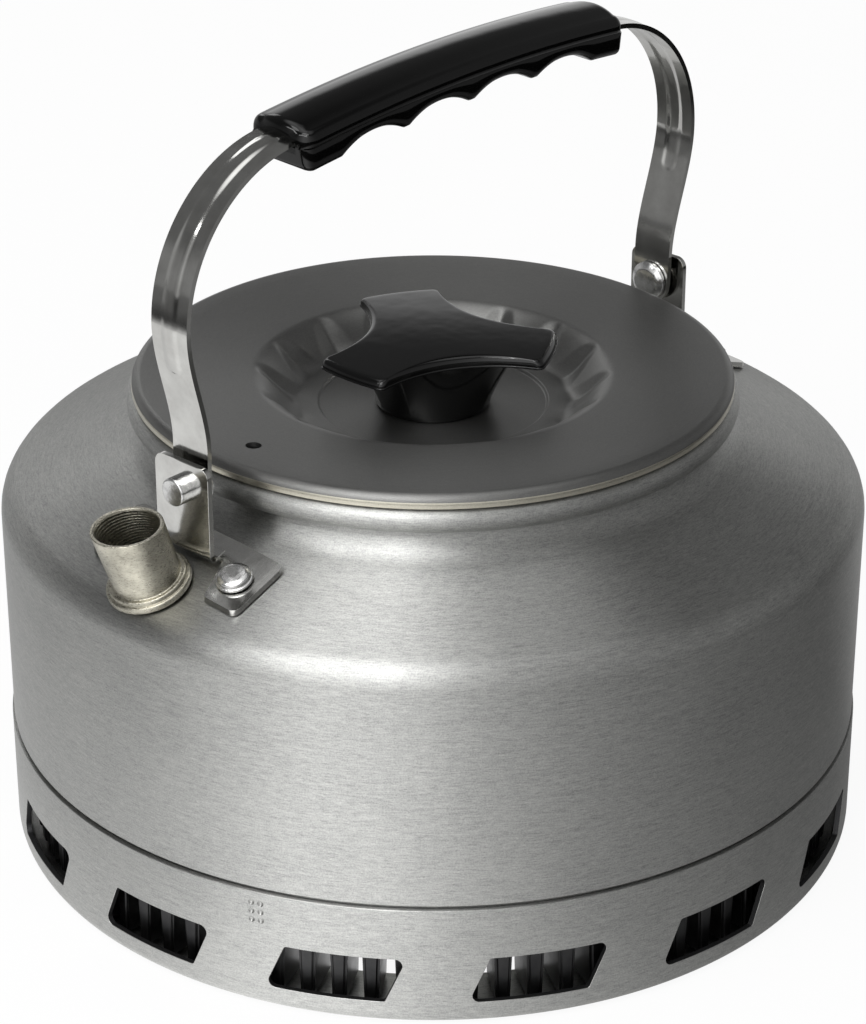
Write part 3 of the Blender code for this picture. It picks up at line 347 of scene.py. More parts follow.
def vessel_outline():
    step_z = SKIRT_TOP_Z + SEAM_WIDTH
    neck_out = NECK_IN_R + SHEET
    wall_in = BODY_R - SHEET
    drop = SHEET / cos(CONE_SLOPE)
    joint = pi + acos((BEAD_R - SHEET) / BEAD_R)
    outside = rounded([
        (0.0, BASE_Z, 0.0), (SPIGOT_R, BASE_Z, BASE_CORNER_R), (SPIGOT_R, step_z, 0.0),
        (BODY_R, step_z, EDGE_SOFT), (BODY_R, cone_z(BODY_R), SHOULDER_R),
        (neck_out, cone_z(neck_out), NECK_FILLET_R),
        (neck_out, BEAD_CENTRE_Z + BEAD_R * sin(joint), 0.0)])
    bead = arc(BEAD_CENTRE_R, BEAD_CENTRE_Z, BEAD_R, joint, 3.0 * pi, 24)[1:]
    inside = rounded([
        (NECK_IN_R, BEAD_CENTRE_Z, 0.0),
        (NECK_IN_R, cone_z(NECK_IN_R) - drop, NECK_FILLET_R + SHEET),
        (wall_in, cone_z(wall_in) - drop, SHOULDER_R - SHEET),
        (wall_in, step_z + SHEET, EDGE_SOFT), (SPIGOT_R - SHEET, step_z + SHEET, EDGE_SOFT),
        (SPIGOT_R - SHEET, BASE_Z + FLOOR_SHEET, BASE_CORNER_R - SHEET),
        (0.0, BASE_Z + FLOOR_SHEET, 0.0)])[1:]
    return outside + bead + inside


def add_vessel():
    vessel = add_piece("vessel_body", turned(vessel_outline(), VESSEL_SEGMENTS), "kettle", BODY_METAL,
                       ["vessel"])
    through = 3.0 * SHEET
    holes = [(FOOT_RIVET_R + HOLE_GAP, -through, through, place) for place in foot_rivet_places()]
    drill(vessel, holes + [(SPOUT_SPIGOT_R + HOLE_GAP, -through, through, SPOUT_PLACE)])


add_vessel()

# Heat-exchanger skirt and fins
# A rolled aluminium ring pushed over the vessel's foot, in the same brushed anodising, with
# leaning windows punched through it. Their cut faces wear painted shade, a plain dark grey.
# The fins inside are one folded strip, dark grey with cloudy patches; each fold is closed at its outer end.

SKIRT_CORNER_R = 3.0 * MM
SKIRT_SEGMENTS = 280
FLANGE_IN_R = 78.5 * MM
WINDOW_COUNT = 14
WINDOW_LENGTH = 25.6 * MM
WINDOW_LOW_Z = 5.6 * MM
WINDOW_HEIGHT = 10.5 * MM
WINDOW_LEAN = 4.5 * MM
WINDOW_CORNER_R = 1.6 * MM
WINDOW_BLUNT_R = 0.7 * MM    # round of the two corners that are wider than square
WINDOW_CHAMFER = 0.07 * MM
WINDOW_EDGE_STEP = 1.6 * MM  # points along an edge, so that it curves with the wall
WINDOW_FIRST = -150.0 * DEG
PUNCH_MARK_AT = -160.0 * DEG
PUNCH_MARK_Z = 23.3 * MM
PUNCH_PITCH = 2.05 * MM
PUNCH_R = 0.8 * MM
PUNCH_DEPTH = 0.42 * MM
SKIRT_R = BODY_R + SKIRT_PROUD
FIN_COUNT = 84
FIN_SHEET = 0.5 * MM
FIN_SETBACK = 1.3 * MM
FIN_MARGIN = 0.3 * MM
FIN_TROUGH_TOP = 0.44        # shares of the spacing between fins
FIN_TROUGH_FOOT = 0.3
FIN_SOFT = 0.25 * MM         # soft edge round the closed outer end of a fold
FIN_LIFT = 0.5 * MM          # room for the sheet under the folds' feet


def polar(radius, turn, z):
    return Vector((radius * cos(turn), radius * sin(turn), z))


def window_outline(grow):
    """Leaning window with round corners, as (along the wall, up) points, grown by an offset."""
    half = WINDOW_LENGTH / 2.0 + grow
    shift = WINDOW_LEAN / 2.0
    top = WINDOW_HEIGHT + grow
    sharp_r, blunt_r = WINDOW_CORNER_R + grow, WINDOW_BLUNT_R + grow
    corners = [(-half - shift, -grow, sharp_r), (half - shift, -grow, blunt_r),
               (half + shift, top, sharp_r), (-half + shift, top, blunt_r)]
    points = rounded(corners, closed=True, step=15.0 * DEG)
    dense = []
    for here, after in zip(points, points[1:] + points[:1]):
        count = max(1, round(dist(here, after) / WINDOW_EDGE_STEP))
        dense += zip(*[spaced(a, b, count)[:-1] for a, b in zip(here, after)])
    return dense


def window_plug(direction):
    """Rings of a window-shaped plug that curves with the wall and flares at its outer surface."""
    flare = 2.0 * WINDOW_CHAMFER
    levels = ((-4.0 * SHEET, 0.0), (-WINDOW_CHAMFER, 0.0), (WINDOW_CHAMFER, flare), (3.0 * SHEET, flare))
    return [[polar(SKIRT_R + depth, direction + along / SKIRT_R, WINDOW_LOW_Z + up)
             for along, up in window_outline(grow)] for depth, grow in levels]


def add_skirt():
    wall_in = SKIRT_R - SHEET
    outline = rounded([
        (wall_in, SKIRT_TOP_Z, EDGE_SOFT), (SKIRT_R, SKIRT_TOP_Z, EDGE_SOFT), (SKIRT_R, 0.0, SKIRT_CORNER_R),
        (FLANGE_IN_R, 0.0, EDGE_SOFT), (FLANGE_IN_R, SHEET, EDGE_SOFT),
        (wall_in, SHEET, SKIRT_CORNER_R - SHEET)], closed=True)
    skirt = add_piece("skirt_ring", turned(outline, SKIRT_SEGMENTS), "kettle", BODY_METAL,
                      ["heat_exchanger_skirt"])
    cutter = bmesh.new()
    for i in range(WINDOW_COUNT):
        skinned(window_plug(WINDOW_FIRST + i * 2.0 * pi / WINDOW_COUNT), cutter)
    for column in (-0.5, 0.5):
        for row in (-1, 0, 1):
            spot = polar(SKIRT_R + PUNCH_R - PUNCH_DEPTH, PUNCH_MARK_AT + column * PUNCH_PITCH / SKIRT_R,
                         PUNCH_MARK_Z + row * PUNCH_PITCH)
            bmesh.ops.create_uvsphere(cutter, u_segments=16, v_segments=10, radius=PUNCH_R,
                                      matrix=Matrix.Translation(spot))
    carve(skirt, cutter)
    # Painted shade: a plain dark grey on the windows' cut faces, so that they don't shine as the brushed wall
    # does
    skirt.data.materials.append(finish("painted_shade_cut_edge", "4A4A4B", 1.0, 0.5))
    for face in skirt.data.polygons:
        depth = SKIRT_R - hypot(face.center.x, face.center.y)
        up = face.center.z - WINDOW_LOW_Z
        in_window = -EDGE_SOFT < up < WINDOW_HEIGHT + EDGE_SOFT
        if in_window and 2.0 * WINDOW_CHAMFER < depth < SHEET - EDGE_SOFT:
            face.material_index = 1


def fin_metal():
    """Dark grey aluminium with cloudy patches of random tone, some duller than others."""
    mat = finish("dark_mottled_fins", "3A3B3D", 1.0, 0.42)
    stain = noise(mat, object_point(mat), 4.0 * MM)
    shade(mat, {"Base Color": tint(mat, stain, "222224", "4C4C4C"), "Roughness": spread(mat, stain, 0.3, 0.55)})
    return mat


def add_fins():
    """A strip folded to and fro into narrow V troughs, then given its thickness."""
    low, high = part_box("heat_exchanger_fins")
    inner, outer = FLANGE_IN_R + FIN_SETBACK, high.x - FIN_MARGIN
    bottom, top = low.z + FIN_LIFT, high.z - FIN_SHEET / 2.0
    path = [(-FIN_TROUGH_TOP / 2.0, top), (-FIN_TROUGH_FOOT / 2.0, bottom),
            (FIN_TROUGH_FOOT / 2.0, bottom), (FIN_TROUGH_TOP / 2.0, top)]
    bm = bmesh.new()
    near, far = [[bm.verts.new(polar(radius, 2.0 * pi * (fin + share) / FIN_COUNT, z))
                  for fin in range(FIN_COUNT) for share, z in path] for radius in (inner, outer)]
    for corners in zip(near, near[1:] + near[:1], far[1:] + far[:1], far):
        bm.faces.new(corners)
    bmesh.ops.recalc_face_normals(bm, faces=bm.faces)
    bmesh.ops.solidify(bm, geom=list(bm.faces), thickness=FIN_SHEET)
    ends = []
    for fin in range(FIN_COUNT):
        loop = [bm.verts.new(v.co) for v in far[len(path) * fin:len(path) * (fin + 1)]]
        ends.append(bm.faces.new(loop))
    grown = bmesh.ops.extrude_face_region(bm, geom=ends)["geom"]
    for v in grown:
        if isinstance(v, bmesh.types.BMVert):
            v.co += Vector((v.co.x, v.co.y, 0.0)).normalized() * FIN_SHEET
    edges = [e for f in grown if isinstance(f, bmesh.types.BMFace) for e in f.edges]
    bmesh.ops.bevel(bm, geom=edges, offset=FIN_SOFT, segments=1, affect="EDGES")
    add_piece("fin_strip", bm, "kettle", fin_metal(), ["heat_exchanger_fins"])


def wear(node, mat):
    """Give a carried-over CAD node its finish."""
    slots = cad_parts[node].data.materials
    slots.clear()
    slots.append(mat)


add_skirt()
add_fins()

# Spout
# A turned tube with a two-step flange, nickel-plated a warm grey over a rough casting skin.
# Its bore keeps the tool's grooves, and its mouth is cut nearer to level than the tube.

SPOUT_LENGTH = 16.2 * MM
SPOUT_ROOT_R = 7.2 * MM
SPOUT_ROOT_ROUND = 0.3 * MM
SPOUT_RIM_R = 7.45 * MM
SPOUT_RIM_ROUND = 0.2 * MM
SPOUT_RIM_CUT = 12.0 * DEG
SPOUT_FLANGE_R = 9.0 * MM
SPOUT_FLANGE_T = 1.4 * MM
SPOUT_FLANGE_ROUND = 0.45 * MM
SPOUT_STEP_R = 8.3 * MM
SPOUT_STEP_T = 1.0 * MM
SPOUT_STEP_ROUND = 0.4 * MM
SPOUT_FINE_ROUND = 0.12 * MM
SPOUT_FLARE = 0.9 * MM       # the inner end is swaged out by this much
SPOUT_FLARE_GAP = 1.7 * MM
SPOUT_FLARE_T = 1.1 * MM
SPOUT_STRAIGHT = 7.0 * MM    # below this the spout is square to its own axis
BORE_MOUTH_R = 6.55 * MM     # the bore is opened out where the grooves are
BORE_BEVEL_WIDTH = 0.15 * MM
BORE_BEVEL = 0.3 * MM        # depth of the bevel at the mouth
BORE_GROOVE_PITCH = 0.8 * MM
BORE_GROOVE_DEPTH = 0.12 * MM
BORE_GROOVE_COUNT = 15
BORE_GROOVE_STEPS = 6


def spout_metal():
    """Warm grey metal with dark crackled pits, flattened around the tube, and wide duller patches."""
    mat = finish("nickel_plated_spout", "A8A294", 1.0, 0.34)
    point = object_point(mat)
    crackle = noise(mat, vector_maths(mat, "MULTIPLY", point, (1.0, 1.0, 3.2)), 0.8 * MM, 3.0, 0.75)
    toned = mixed(mat, noise(mat, point, 5.0 * MM), crackle, 0.5)
    shade(mat, {
        "Base Color": tint(mat, spread(mat, toned, -0.6, 1.6), "6A675E", "CFCBBC"),
        "Roughness": spread(mat, crackle, 0.18, 0.4), "Normal": bump(mat, crackle, 0.13 * MM, 0.8)})
    return mat


def add_spout():
    flare_r = SPOUT_SPIGOT_R + SPOUT_FLARE
    flare_top = -SHEET - SPOUT_FLARE_GAP
    flare_low = flare_top - SPOUT_FLARE_T
    flange_top = SEAT_GAP + SPOUT_FLANGE_T
    step_top = flange_top + SPOUT_STEP_T
    bevel_low = SPOUT_LENGTH - BORE_BEVEL
    outside = rounded([
        (SPOUT_BORE_R, flare_low, EDGE_SOFT), (flare_r, flare_low, EDGE_SOFT), (flare_r, flare_top, EDGE_SOFT),
        (SPOUT_SPIGOT_R, flare_top, 0.0), (SPOUT_SPIGOT_R, SEAT_GAP, 0.0),
        (SPOUT_FLANGE_R, SEAT_GAP, EDGE_SOFT), (SPOUT_FLANGE_R, flange_top, SPOUT_FLANGE_ROUND),
        (SPOUT_STEP_R, flange_top, SPOUT_FINE_ROUND),
        (SPOUT_STEP_R, step_top, SPOUT_STEP_ROUND), (SPOUT_ROOT_R, step_top, SPOUT_ROOT_ROUND),
        (SPOUT_RIM_R, SPOUT_LENGTH, SPOUT_RIM_ROUND),
        (BORE_MOUTH_R + BORE_BEVEL_WIDTH, SPOUT_LENGTH, SPOUT_FINE_ROUND), (BORE_MOUTH_R, bevel_low, 0.0)],
        step=22.0 * DEG)
    bore = []
    for i in range(1, BORE_GROOVE_COUNT * BORE_GROOVE_STEPS):
        groove = i / BORE_GROOVE_STEPS
        wave = 0.5 - 0.5 * cos(2.0 * pi * groove)
        bore.append((BORE_MOUTH_R - BORE_GROOVE_DEPTH * wave, bevel_low - BORE_GROOVE_PITCH * groove))
    bm = turned(outside + bore, 72)
    for v in bm.verts:
        share = (v.co.z - SPOUT_STRAIGHT) / (SPOUT_LENGTH - SPOUT_STRAIGHT)
        v.co.z += max(0.0, share) * v.co.x * tan(SPOUT_RIM_CUT)
    add_piece("spout_tube", bm, "kettle", spout_metal(), ["spout"], SPOUT_PLACE)


add_spout()

# Bail brackets
# Two polished stainless stampings with softened edges. Each has a base bent to the slope
# of the top, two feet that take the rivets, and an ear folded up for the bail's pivot.

PLATE = 1.2 * MM
PLATE_SOFT = 0.3 * MM
EAR_WIDTH = 15.3 * MM
EAR_CORNER_R = 2.4 * MM
EAR_OVER_PIVOT = 6.2 * MM
FOLD_R = 1.5 * MM            # round at the middle of the folded sheet
FOLD_START_R = EAR_R - PLATE / 2.0 - FOLD_R
EAR_BURIED = 0.02 * MM       # each face of the ear is drawn in this much inside the base
FOOT_BACK = 7.0 * MM
FOOT_REACH = 7.2 * MM
FOOT_SPAN = 42.4 * MM
FOOT_CORNER = 1.8 * MM
FOOT_ROOT = 8.8 * MM
FOOT_TOE = 12.4 * MM
FOOT_TOE_R = 0.8 * MM
NOTCH_R = 0.7 * MM           # relief between the ear's fold and a foot
PIVOT_RISE = 16.0 * MM
PIVOT_R = 2.5 * MM
PIVOT_Z = cone_z(EAR_R) + PIVOT_RISE
EAR_CORNER_Z = PIVOT_Z + EAR_OVER_PIVOT - EAR_CORNER_R


def pivot_place(side):
    """Frame on the hinge line at the kettle's middle, +Z pointing out to one side (-1 or +1)."""
    turn = Matrix.Rotation(side * pi / 2.0, 4, "Y")
    return Matrix.Translation((0.0, BAIL_OFF_LINE, PIVOT_Z)) @ turn


def polished_steel(name, dark, light, roughness):
    """Bright rolled sheet with faint scratches, smears and a very slight waviness."""
    mat = finish(name, light, 1.0, roughness)
    point = object_point(mat)
    smear = noise(mat, point, 6.0 * MM, 3.0)
    scratch = noise(mat, vector_maths(mat, "MULTIPLY", point, (0.25, 1.0, 0.12)), 0.25 * MM, 2.0, 0.7)
    wavy = bump(mat, smear, 0.06 * MM, 0.35)
    shade(mat, {
        "Base Color": tint(mat, smear, dark, light),
        "Roughness": spread(mat, mixed(mat, smear, scratch, 0.5), roughness - 0.06, roughness + 0.1),
        "Normal": bump(mat, scratch, 0.006 * MM, 0.4, wavy)})
    return mat


# Nearly a mirror: it shows the studio's light and dark bands, a little smeared
STEEL = polished_steel("polished_stainless", "A4A3A0", "D6D6D3", 0.1)


def on_base(side, reach, w, lift):
    """Point a lift above the sloping top, at a reach from the axis plane and w sideways."""
    x, y = side * reach, BAIL_OFF_LINE + w
    return Vector((x, y, cone_z(hypot(x, y)) + lift / cos(CONE_SLOPE)))


def corner_inset(into, radius):
    """How far a round corner has closed in at a place that lies this far into it."""
    share = min(1.0, max(0.0, into / radius))
    return radius * (1.0 - sqrt(1.0 - share ** 2))


def base_columns():
    """Widths across the base with its inner and outer reach: the outline of base and feet."""
    half = FOOT_SPAN / 2.0
    back, toe = EAR_R - FOOT_BACK, EAR_R + FOOT_REACH
    middle = EAR_WIDTH / 2.0
    columns = [(w, back, FOLD_START_R) for w in spaced(0.0, middle, 4)]
    outer = rounded([(middle + 0.1 * MM, FOLD_START_R, 0.0), (FOOT_ROOT, FOLD_START_R, NOTCH_R),
                     (FOOT_TOE, toe, FOOT_TOE_R), (half, toe, FOOT_CORNER), (half, (back + toe) / 2.0, 0.0)])
    for w, reach in outer:
        inside = back + corner_inset(w - (half - FOOT_CORNER), FOOT_CORNER)
        columns.append((w, inside, max(reach, inside + 0.2 * MM)))
    merged = columns[:1]
    for column in columns:
        if column[0] - merged[-1][0] > 0.02 * MM:
            merged.append(column)
    return [(-w, a, b) for w, a, b in reversed(merged[1:])] + merged


def ear_path():
    """Middle line of the ear's sheet as (x, z): out of the base, round the fold and up."""
    down_slope = Vector((cos(CONE_SLOPE), -sin(CONE_SLOPE)))
    normal = Vector((sin(CONE_SLOPE), cos(CONE_SLOPE)))
    start = Vector((FOLD_START_R, cone_z(FOLD_START_R) + (SEAT_GAP + PLATE / 2.0) / cos(CONE_SLOPE)))
    centre = start + normal * FOLD_R
    path = [start - down_slope * 2.0 * MM, start - down_slope * 1.0 * MM]
    path += [Vector(p) for p in arc(*centre, FOLD_R, atan2(-normal.y, -normal.x), 0.0, 8)]
    x, fold_top = path[-1]
    heights = spaced(fold_top, EAR_CORNER_Z, 4)[1:]
    heights += [EAR_CORNER_Z + EAR_CORNER_R * sin(t) for t in spaced(15.0 * DEG, 90.0 * DEG, 5)]
    return path + [Vector((x, z)) for z in heights]


def ear_rings(side):
    """Cross sections up the ear, with five points on each face, narrower at its top corners."""
    path = ear_path()
    rings = []
    for i, p in enumerate(path):
        ahead = path[min(i + 1, len(path) - 1)] - path[max(i - 1, 0)]
        push = Vector((-ahead.y, ahead.x)).normalized() * (PLATE / 2.0 - (EAR_BURIED if i < 2 else 0.0))
        w = EAR_WIDTH / 2.0 - corner_inset(p.y - EAR_CORNER_Z, EAR_CORNER_R)
        rings.append([Vector((side * (p.x + way * push.x), BAIL_OFF_LINE + way * y, p.y + way * push.y))
                      for way in (1, -1) for y in spaced(-w, w, 4)])
    return rings


def soften(piece, width):
    """Round a piece's sharp edges with a small bevel."""
    step = piece.modifiers.new("soft_edges", "BEVEL")
    step.width = width
    step.segments = 2
    step.limit_method = "ANGLE"
    step.angle_limit = 50.0 * DEG
    step.harden_normals = True


def add_bracket(name, side, replaced):
    low, high = SEAT_GAP, SEAT_GAP + PLATE
    rings = [[on_base(side, reach, w, lift)
              for reach, lift in ((inner, low), (outer, low), (outer, high), (inner, high))]
             for w, inner, outer in base_columns()]
    base = add_piece(name, skinned(rings), "kettle", STEEL, replaced, sharp=25.0 * DEG)
    ear = add_piece(name + "_ear", skinned(ear_rings(side)), "kettle", STEEL, sharp=25.0 * DEG)
    deep = 3.0 * PLATE
    drill(ear, [(PIVOT_R + HOLE_GAP, EAR_R - deep, EAR_R + deep, pivot_place(side))], 40)
    drill(base, [(FOOT_RIVET_R + HOLE_GAP, -PLATE, deep, place) for place in foot_rivet_places([side])])
    soften(base, PLATE_SOFT)
    soften(ear, PLATE_SOFT)


add_bracket("spout_side_bracket_plate", -1, ["spout_side_bracket"])
add_bracket("rear_bracket_plate", 1, ["rear_bracket"])

# Rivets and washers
# Bright aluminium rivets: four domed ones that hold the brackets' feet, with a small ledge
# under each dome, and two pivot rivets with their heads inside and plain ends outside.

FOOT_HEAD_R = 3.9 * MM
FOOT_HEAD_T = 1.9 * MM
FOOT_LEDGE_T = 0.55 * MM
FOOT_DOME_R = 3.51 * MM
# Corners of the dome: shares of the head's radius and thickness, and the corner's round
FOOT_DOME = ((0.864, 0.72, 0.5 * MM), (0.66, 0.95, 1.2 * MM), (0.3, 1.0, 3.0 * MM), (0.0, 1.0, 0.0))
FOOT_TAIL_R = 3.0 * MM
FOOT_TAIL_T = 1.5 * MM
FOOT_WASHER_T = 0.8 * MM
PIVOT_GAP = 0.2 * MM
PIVOT_HEAD_R = 4.5 * MM
PIVOT_HEAD_T = 1.7 * MM
PIVOT_END_R = 3.0 * MM
PIVOT_END_T = 3.1 * MM
PIVOT_WASHER_T = 0.4 * MM
STRAP = 1.1 * MM
STRAP_R = EAR_R - PLATE - PIVOT_WASHER_T - 2.0 * PIVOT_GAP - STRAP / 2.0


def rivet_metal():
    """Bright soft metal with shallow dents from the setting tool and fine scuffs."""
    mat = finish("bright_rivet_aluminium", "D8D8D8", 1.0, 0.2)
    point = object_point(mat)
    dent = noise(mat, point, 1.6 * MM, 2.0)
    scuff = noise(mat, point, 0.3 * MM, 3.0, 0.7)
    dented = bump(mat, dent, 0.12 * MM, 0.5)
    shade(mat, {"Base Color": tint(mat, dent, "A8A8A8", "EDEDEC"), "Roughness": spread(mat, scuff, 0.1, 0.36),
                "Normal": bump(mat, scuff, 0.02 * MM, 0.5, dented)})
    return mat


RIVET = rivet_metal()


def add_foot_rivets():
    head_low = 2.0 * SEAT_GAP + PLATE
    ledge_top = head_low + FOOT_LEDGE_T
    tail_top = -SHEET - 2.0 * SEAT_GAP - FOOT_WASHER_T
    tail_low = tail_top - FOOT_TAIL_T
    outline = rounded([
        (0.0, tail_low, 0.0), (FOOT_TAIL_R, tail_low, 0.6 * MM), (FOOT_TAIL_R, tail_top, 0.2 * MM),
        (FOOT_RIVET_R, tail_top, 0.0), (FOOT_RIVET_R, head_low, 0.0), (FOOT_HEAD_R, head_low, 0.2 * MM),
        (FOOT_HEAD_R, ledge_top, 0.22 * MM), (FOOT_DOME_R, ledge_top + 0.05 * MM, 0.1 * MM),
        *[(FOOT_HEAD_R * r, head_low + FOOT_HEAD_T * z, soft) for r, z, soft in FOOT_DOME]])
    for number, place in enumerate(foot_rivet_places(), start=1):
        add_piece(f"foot_rivet_head_{number}", turned(outline, 40), "kettle", RIVET,
                  [f"foot_rivet_{number}"], place)
        wear(f"foot_rivet_washer_{number}", RIVET)


def add_pivot_rivets():
    head = STRAP_R - STRAP / 2.0 - PIVOT_GAP
    end = EAR_R + PIVOT_GAP
    outline = rounded([
        (0.0, head - PIVOT_HEAD_T, 0.0), (0.7 * PIVOT_HEAD_R, head - PIVOT_HEAD_T, 1.4 * MM),
        (PIVOT_HEAD_R, head - 0.5 * PIVOT_HEAD_T, 0.4 * MM), (PIVOT_HEAD_R, head, 0.15 * MM),
        (PIVOT_R, head, 0.0), (PIVOT_R, end, 0.0), (PIVOT_END_R, end, 0.15 * MM),
        (PIVOT_END_R, end + PIVOT_END_T, 0.45 * MM), (0.0, end + PIVOT_END_T, 0.0)])
    for side, where in ((-1, "spout_side"), (1, "rear")):
        add_piece(f"pivot_rivet_{where}_body", turned(outline, 40), "kettle", RIVET,
                  [f"pivot_rivet_{where}"], pivot_place(side))
        wear(f"pivot_washer_{where}", STEEL)


add_foot_rivets()
add_pivot_rivets()

# Bail strap
# One polished stainless strip, bent to a bow, with a low stiffening rib pressed outwards
# from the middle of each arm and up through the grip; its sides are soft and its ends
# round. It is riveted to the ears through plain holes.

BAIL_LEAN = 1.9 * DEG
STRAP_WIDTH = 10.0 * MM
STRAP_SOFT = 0.3 * MM
STRAP_TAIL = 5.6 * MM
TAIL_TIP_HALF = 0.6 * MM
# Places across half the strip, as shares of its half width, close together at the rib's side
STRAP_SHARES = (1.0, 0.8, 0.56, 0.49, 0.47, 0.45, 0.43, 0.41, 0.39, 0.36, 0.32, 0.26, 0.2, 0.1, 0.0)
JOGGLE_START = 7.5 * MM
JOGGLE_END = 36.3 * MM
JOGGLE_OUT = 5.4 * MM
BEND_R = 32.0 * MM
CROWN_SLOPE = 6.0 * DEG
RIB_WIDTH = 4.9 * MM
RIB_H = 0.22 * MM
RIB_START = 25.5 * MM
RIB_SLOPE = 1.5 * MM         # width of the rib's sides
BEND_CENTRE_X = STRAP_R + JOGGLE_OUT - BEND_R
BEND_SWEEP = pi / 2.0 - CROWN_SLOPE
CROWN_X = BEND_CENTRE_X + BEND_R * cos(BEND_SWEEP)
CROWN_LOW = JOGGLE_END + BEND_R * sin(BEND_SWEEP)
CROWN_R = CROWN_X / sin(CROWN_SLOPE)
CROWN_TOP = CROWN_LOW + CROWN_R * (1.0 - cos(CROWN_SLOPE))
BAIL_PLACE = Matrix.Translation((0.0, BAIL_OFF_LINE, PIVOT_Z)) @ Matrix.Rotation(BAIL_LEAN, 4, "X")
GRIP_HALF = CROWN_X - 2.4 * MM
PEG_R = 1.6 * MM
PEG_FROM_END = 5.0 * MM
PEG_REACH = 3.4 * MM


def crown_point(x, above=0.0):
    """Point over x on the bail's crown, raised along the crown's normal."""
    turn = asin(x / CROWN_R)
    radius = CROWN_R + above
    return (radius * sin(turn), CROWN_TOP - CROWN_R + radius * cos(turn))


def peg_place(side):
    """Frame on the strip's centre line where a snap peg crosses it, +Z along the crown's normal."""
    x, z = crown_point(side * (GRIP_HALF - PEG_FROM_END))
    return Matrix.Translation((x, 0.0, z)) @ Matrix.Rotation(asin(x / CROWN_R), 4, "Y")


def eased(t):
    """Smooth step: 0 up to t = 0, and 1 from t = 1 on."""
    t = min(1.0, max(0.0, t))
    return t * t * (3.0 - 2.0 * t)


def mirrored(half, middle=()):
    """A row of (across, other) points: the half's mirror image, the middle, and the half back."""
    return [(-y, z) for y, z in half] + list(middle) + half[::-1]


def bail_half():
    """Centre line of one arm as (x, height above the hinge line), from its tail to the middle."""
    line = [(STRAP_R, -STRAP_TAIL * cos(t)) for t in spaced(0.0, 90.0 * DEG, 6)]
    line += [(STRAP_R, JOGGLE_START / 2.0), (STRAP_R, JOGGLE_START)]
    line += [(STRAP_R + JOGGLE_OUT * eased(t), JOGGLE_START + (JOGGLE_END - JOGGLE_START) * t)
             for t in spaced(0.0, 1.0, 144)[1:]]
    line += arc(BEND_CENTRE_X, JOGGLE_END, BEND_R, 0.0, BEND_SWEEP, 34)[1:]
    return line + [crown_point(x) for x in spaced(CROWN_X, 0.0, 15)[1:]]


def strap_section(beyond, half_width):
    """Strip with its raised rib: (across, outward) points of its middle surface.

    The rib's end is round, and beyond is how far the section lies past that end."""
    rib = RIB_WIDTH / 2.0
    row = []
    for share in STRAP_SHARES:
        y = half_width * share
        inward = rib - hypot(y, max(0.0, rib - beyond))
        row.append((y, RIB_H * eased(inward / RIB_SLOPE)))
    return mirrored(row[:-1], row[-1:])


def add_strap():
    half = bail_half()
    line = mirrored(half[:-1], half[-1:])
    rings = []
    for i, (x, z) in enumerate(line):
        ahead = Vector(line[min(i + 1, len(line) - 1)])
        behind = Vector(line[max(i - 1, 0)])
        along = (ahead - behind).normalized()
        out = Vector((-along.y, along.x))
        beyond = z - RIB_START if abs(x) > CROWN_X else RIB_WIDTH
        half_width = max(TAIL_TIP_HALF, STRAP_WIDTH / 2.0 * (1.0 - corner_inset(-z / STRAP_TAIL, 1.0)))
        section = strap_section(beyond, half_width)
        rings.append([Vector((x + out.x * (level + h), y, z + out.y * (level + h)))
                      for level, row in ((STRAP / 2.0, section), (-STRAP / 2.0, section[::-1]))
                      for y, h in row])
    strap = add_piece("bail_strip", skinned(rings), "bail", STEEL, ["bail_strap"],
                      BAIL_PLACE, sharp=40.0 * DEG)
    holes = []
    for side in (-1, 1):
        turn = Matrix.Rotation(side * pi / 2.0, 4, "Y")
        holes += [(PIVOT_R + HOLE_GAP, STRAP_R - 2.0 * STRAP, STRAP_R + 2.0 * STRAP, BAIL_PLACE @ turn),
                  (PEG_R + HOLE_GAP, -4.0 * STRAP, 4.0 * STRAP, BAIL_PLACE @ peg_place(side))]
    drill(strap, holes)
    soften(strap, STRAP_SOFT)


add_strap()

# Grip
# Two glossy black mouldings snapped together around the strip: a smooth cap with round
# edges, and a lower half with four finger grooves.

GRIP_WIDTH = 17.0 * MM
GRIP_TOP = 4.2 * MM
GRIP_CROWN = 1.3 * MM        # the cap's top falls this much from its middle to its sides
GRIP_SKIRT = -0.4 * MM       # lower edge of the cap's sides, from the strip's centre
GRIP_UNDER = 5.6 * MM
GRIP_EDGE_R = 2.4 * MM
GRIP_CORNER_R = 3.4 * MM
GRIP_LOWER_CORNER_R = 2.4 * MM
GRIP_UNDER_EDGE_R = 1.3 * MM
GRIP_CHAMFER = 0.12 * MM     # on the edges where the halves meet
GRIP_CHAMFER_H = 0.15 * MM
GRIP_OVERHANG = 1.1 * MM     # the grip's ends lie this far beyond GRIP_HALF
GRIP_LOWER_INSET = 0.2 * MM
GRIP_AWAY = -0.7 * MM        # the grip sits this far towards the spout side
GRIP_TILT = 0.7 * DEG
GRIP_FIT = 0.06 * MM
FINGER_COUNT = 4
FINGER_PITCH = 20.0 * MM
FINGER_DEPTH = 2.6 * MM
FINGER_RIDGE = 0.93          # share of the spacing that a finger groove takes
FINGERS_END = FINGER_COUNT * FINGER_PITCH / 2.0
GRIP_END = GRIP_HALF + GRIP_OVERHANG
GRIP_PLACE = BAIL_PLACE @ Matrix.Translation((GRIP_AWAY, 0.0, CROWN_TOP)) @ Matrix.Rotation(
    -GRIP_TILT, 4, "Y") @ Matrix.Translation((0.0, 0.0, -CROWN_TOP))


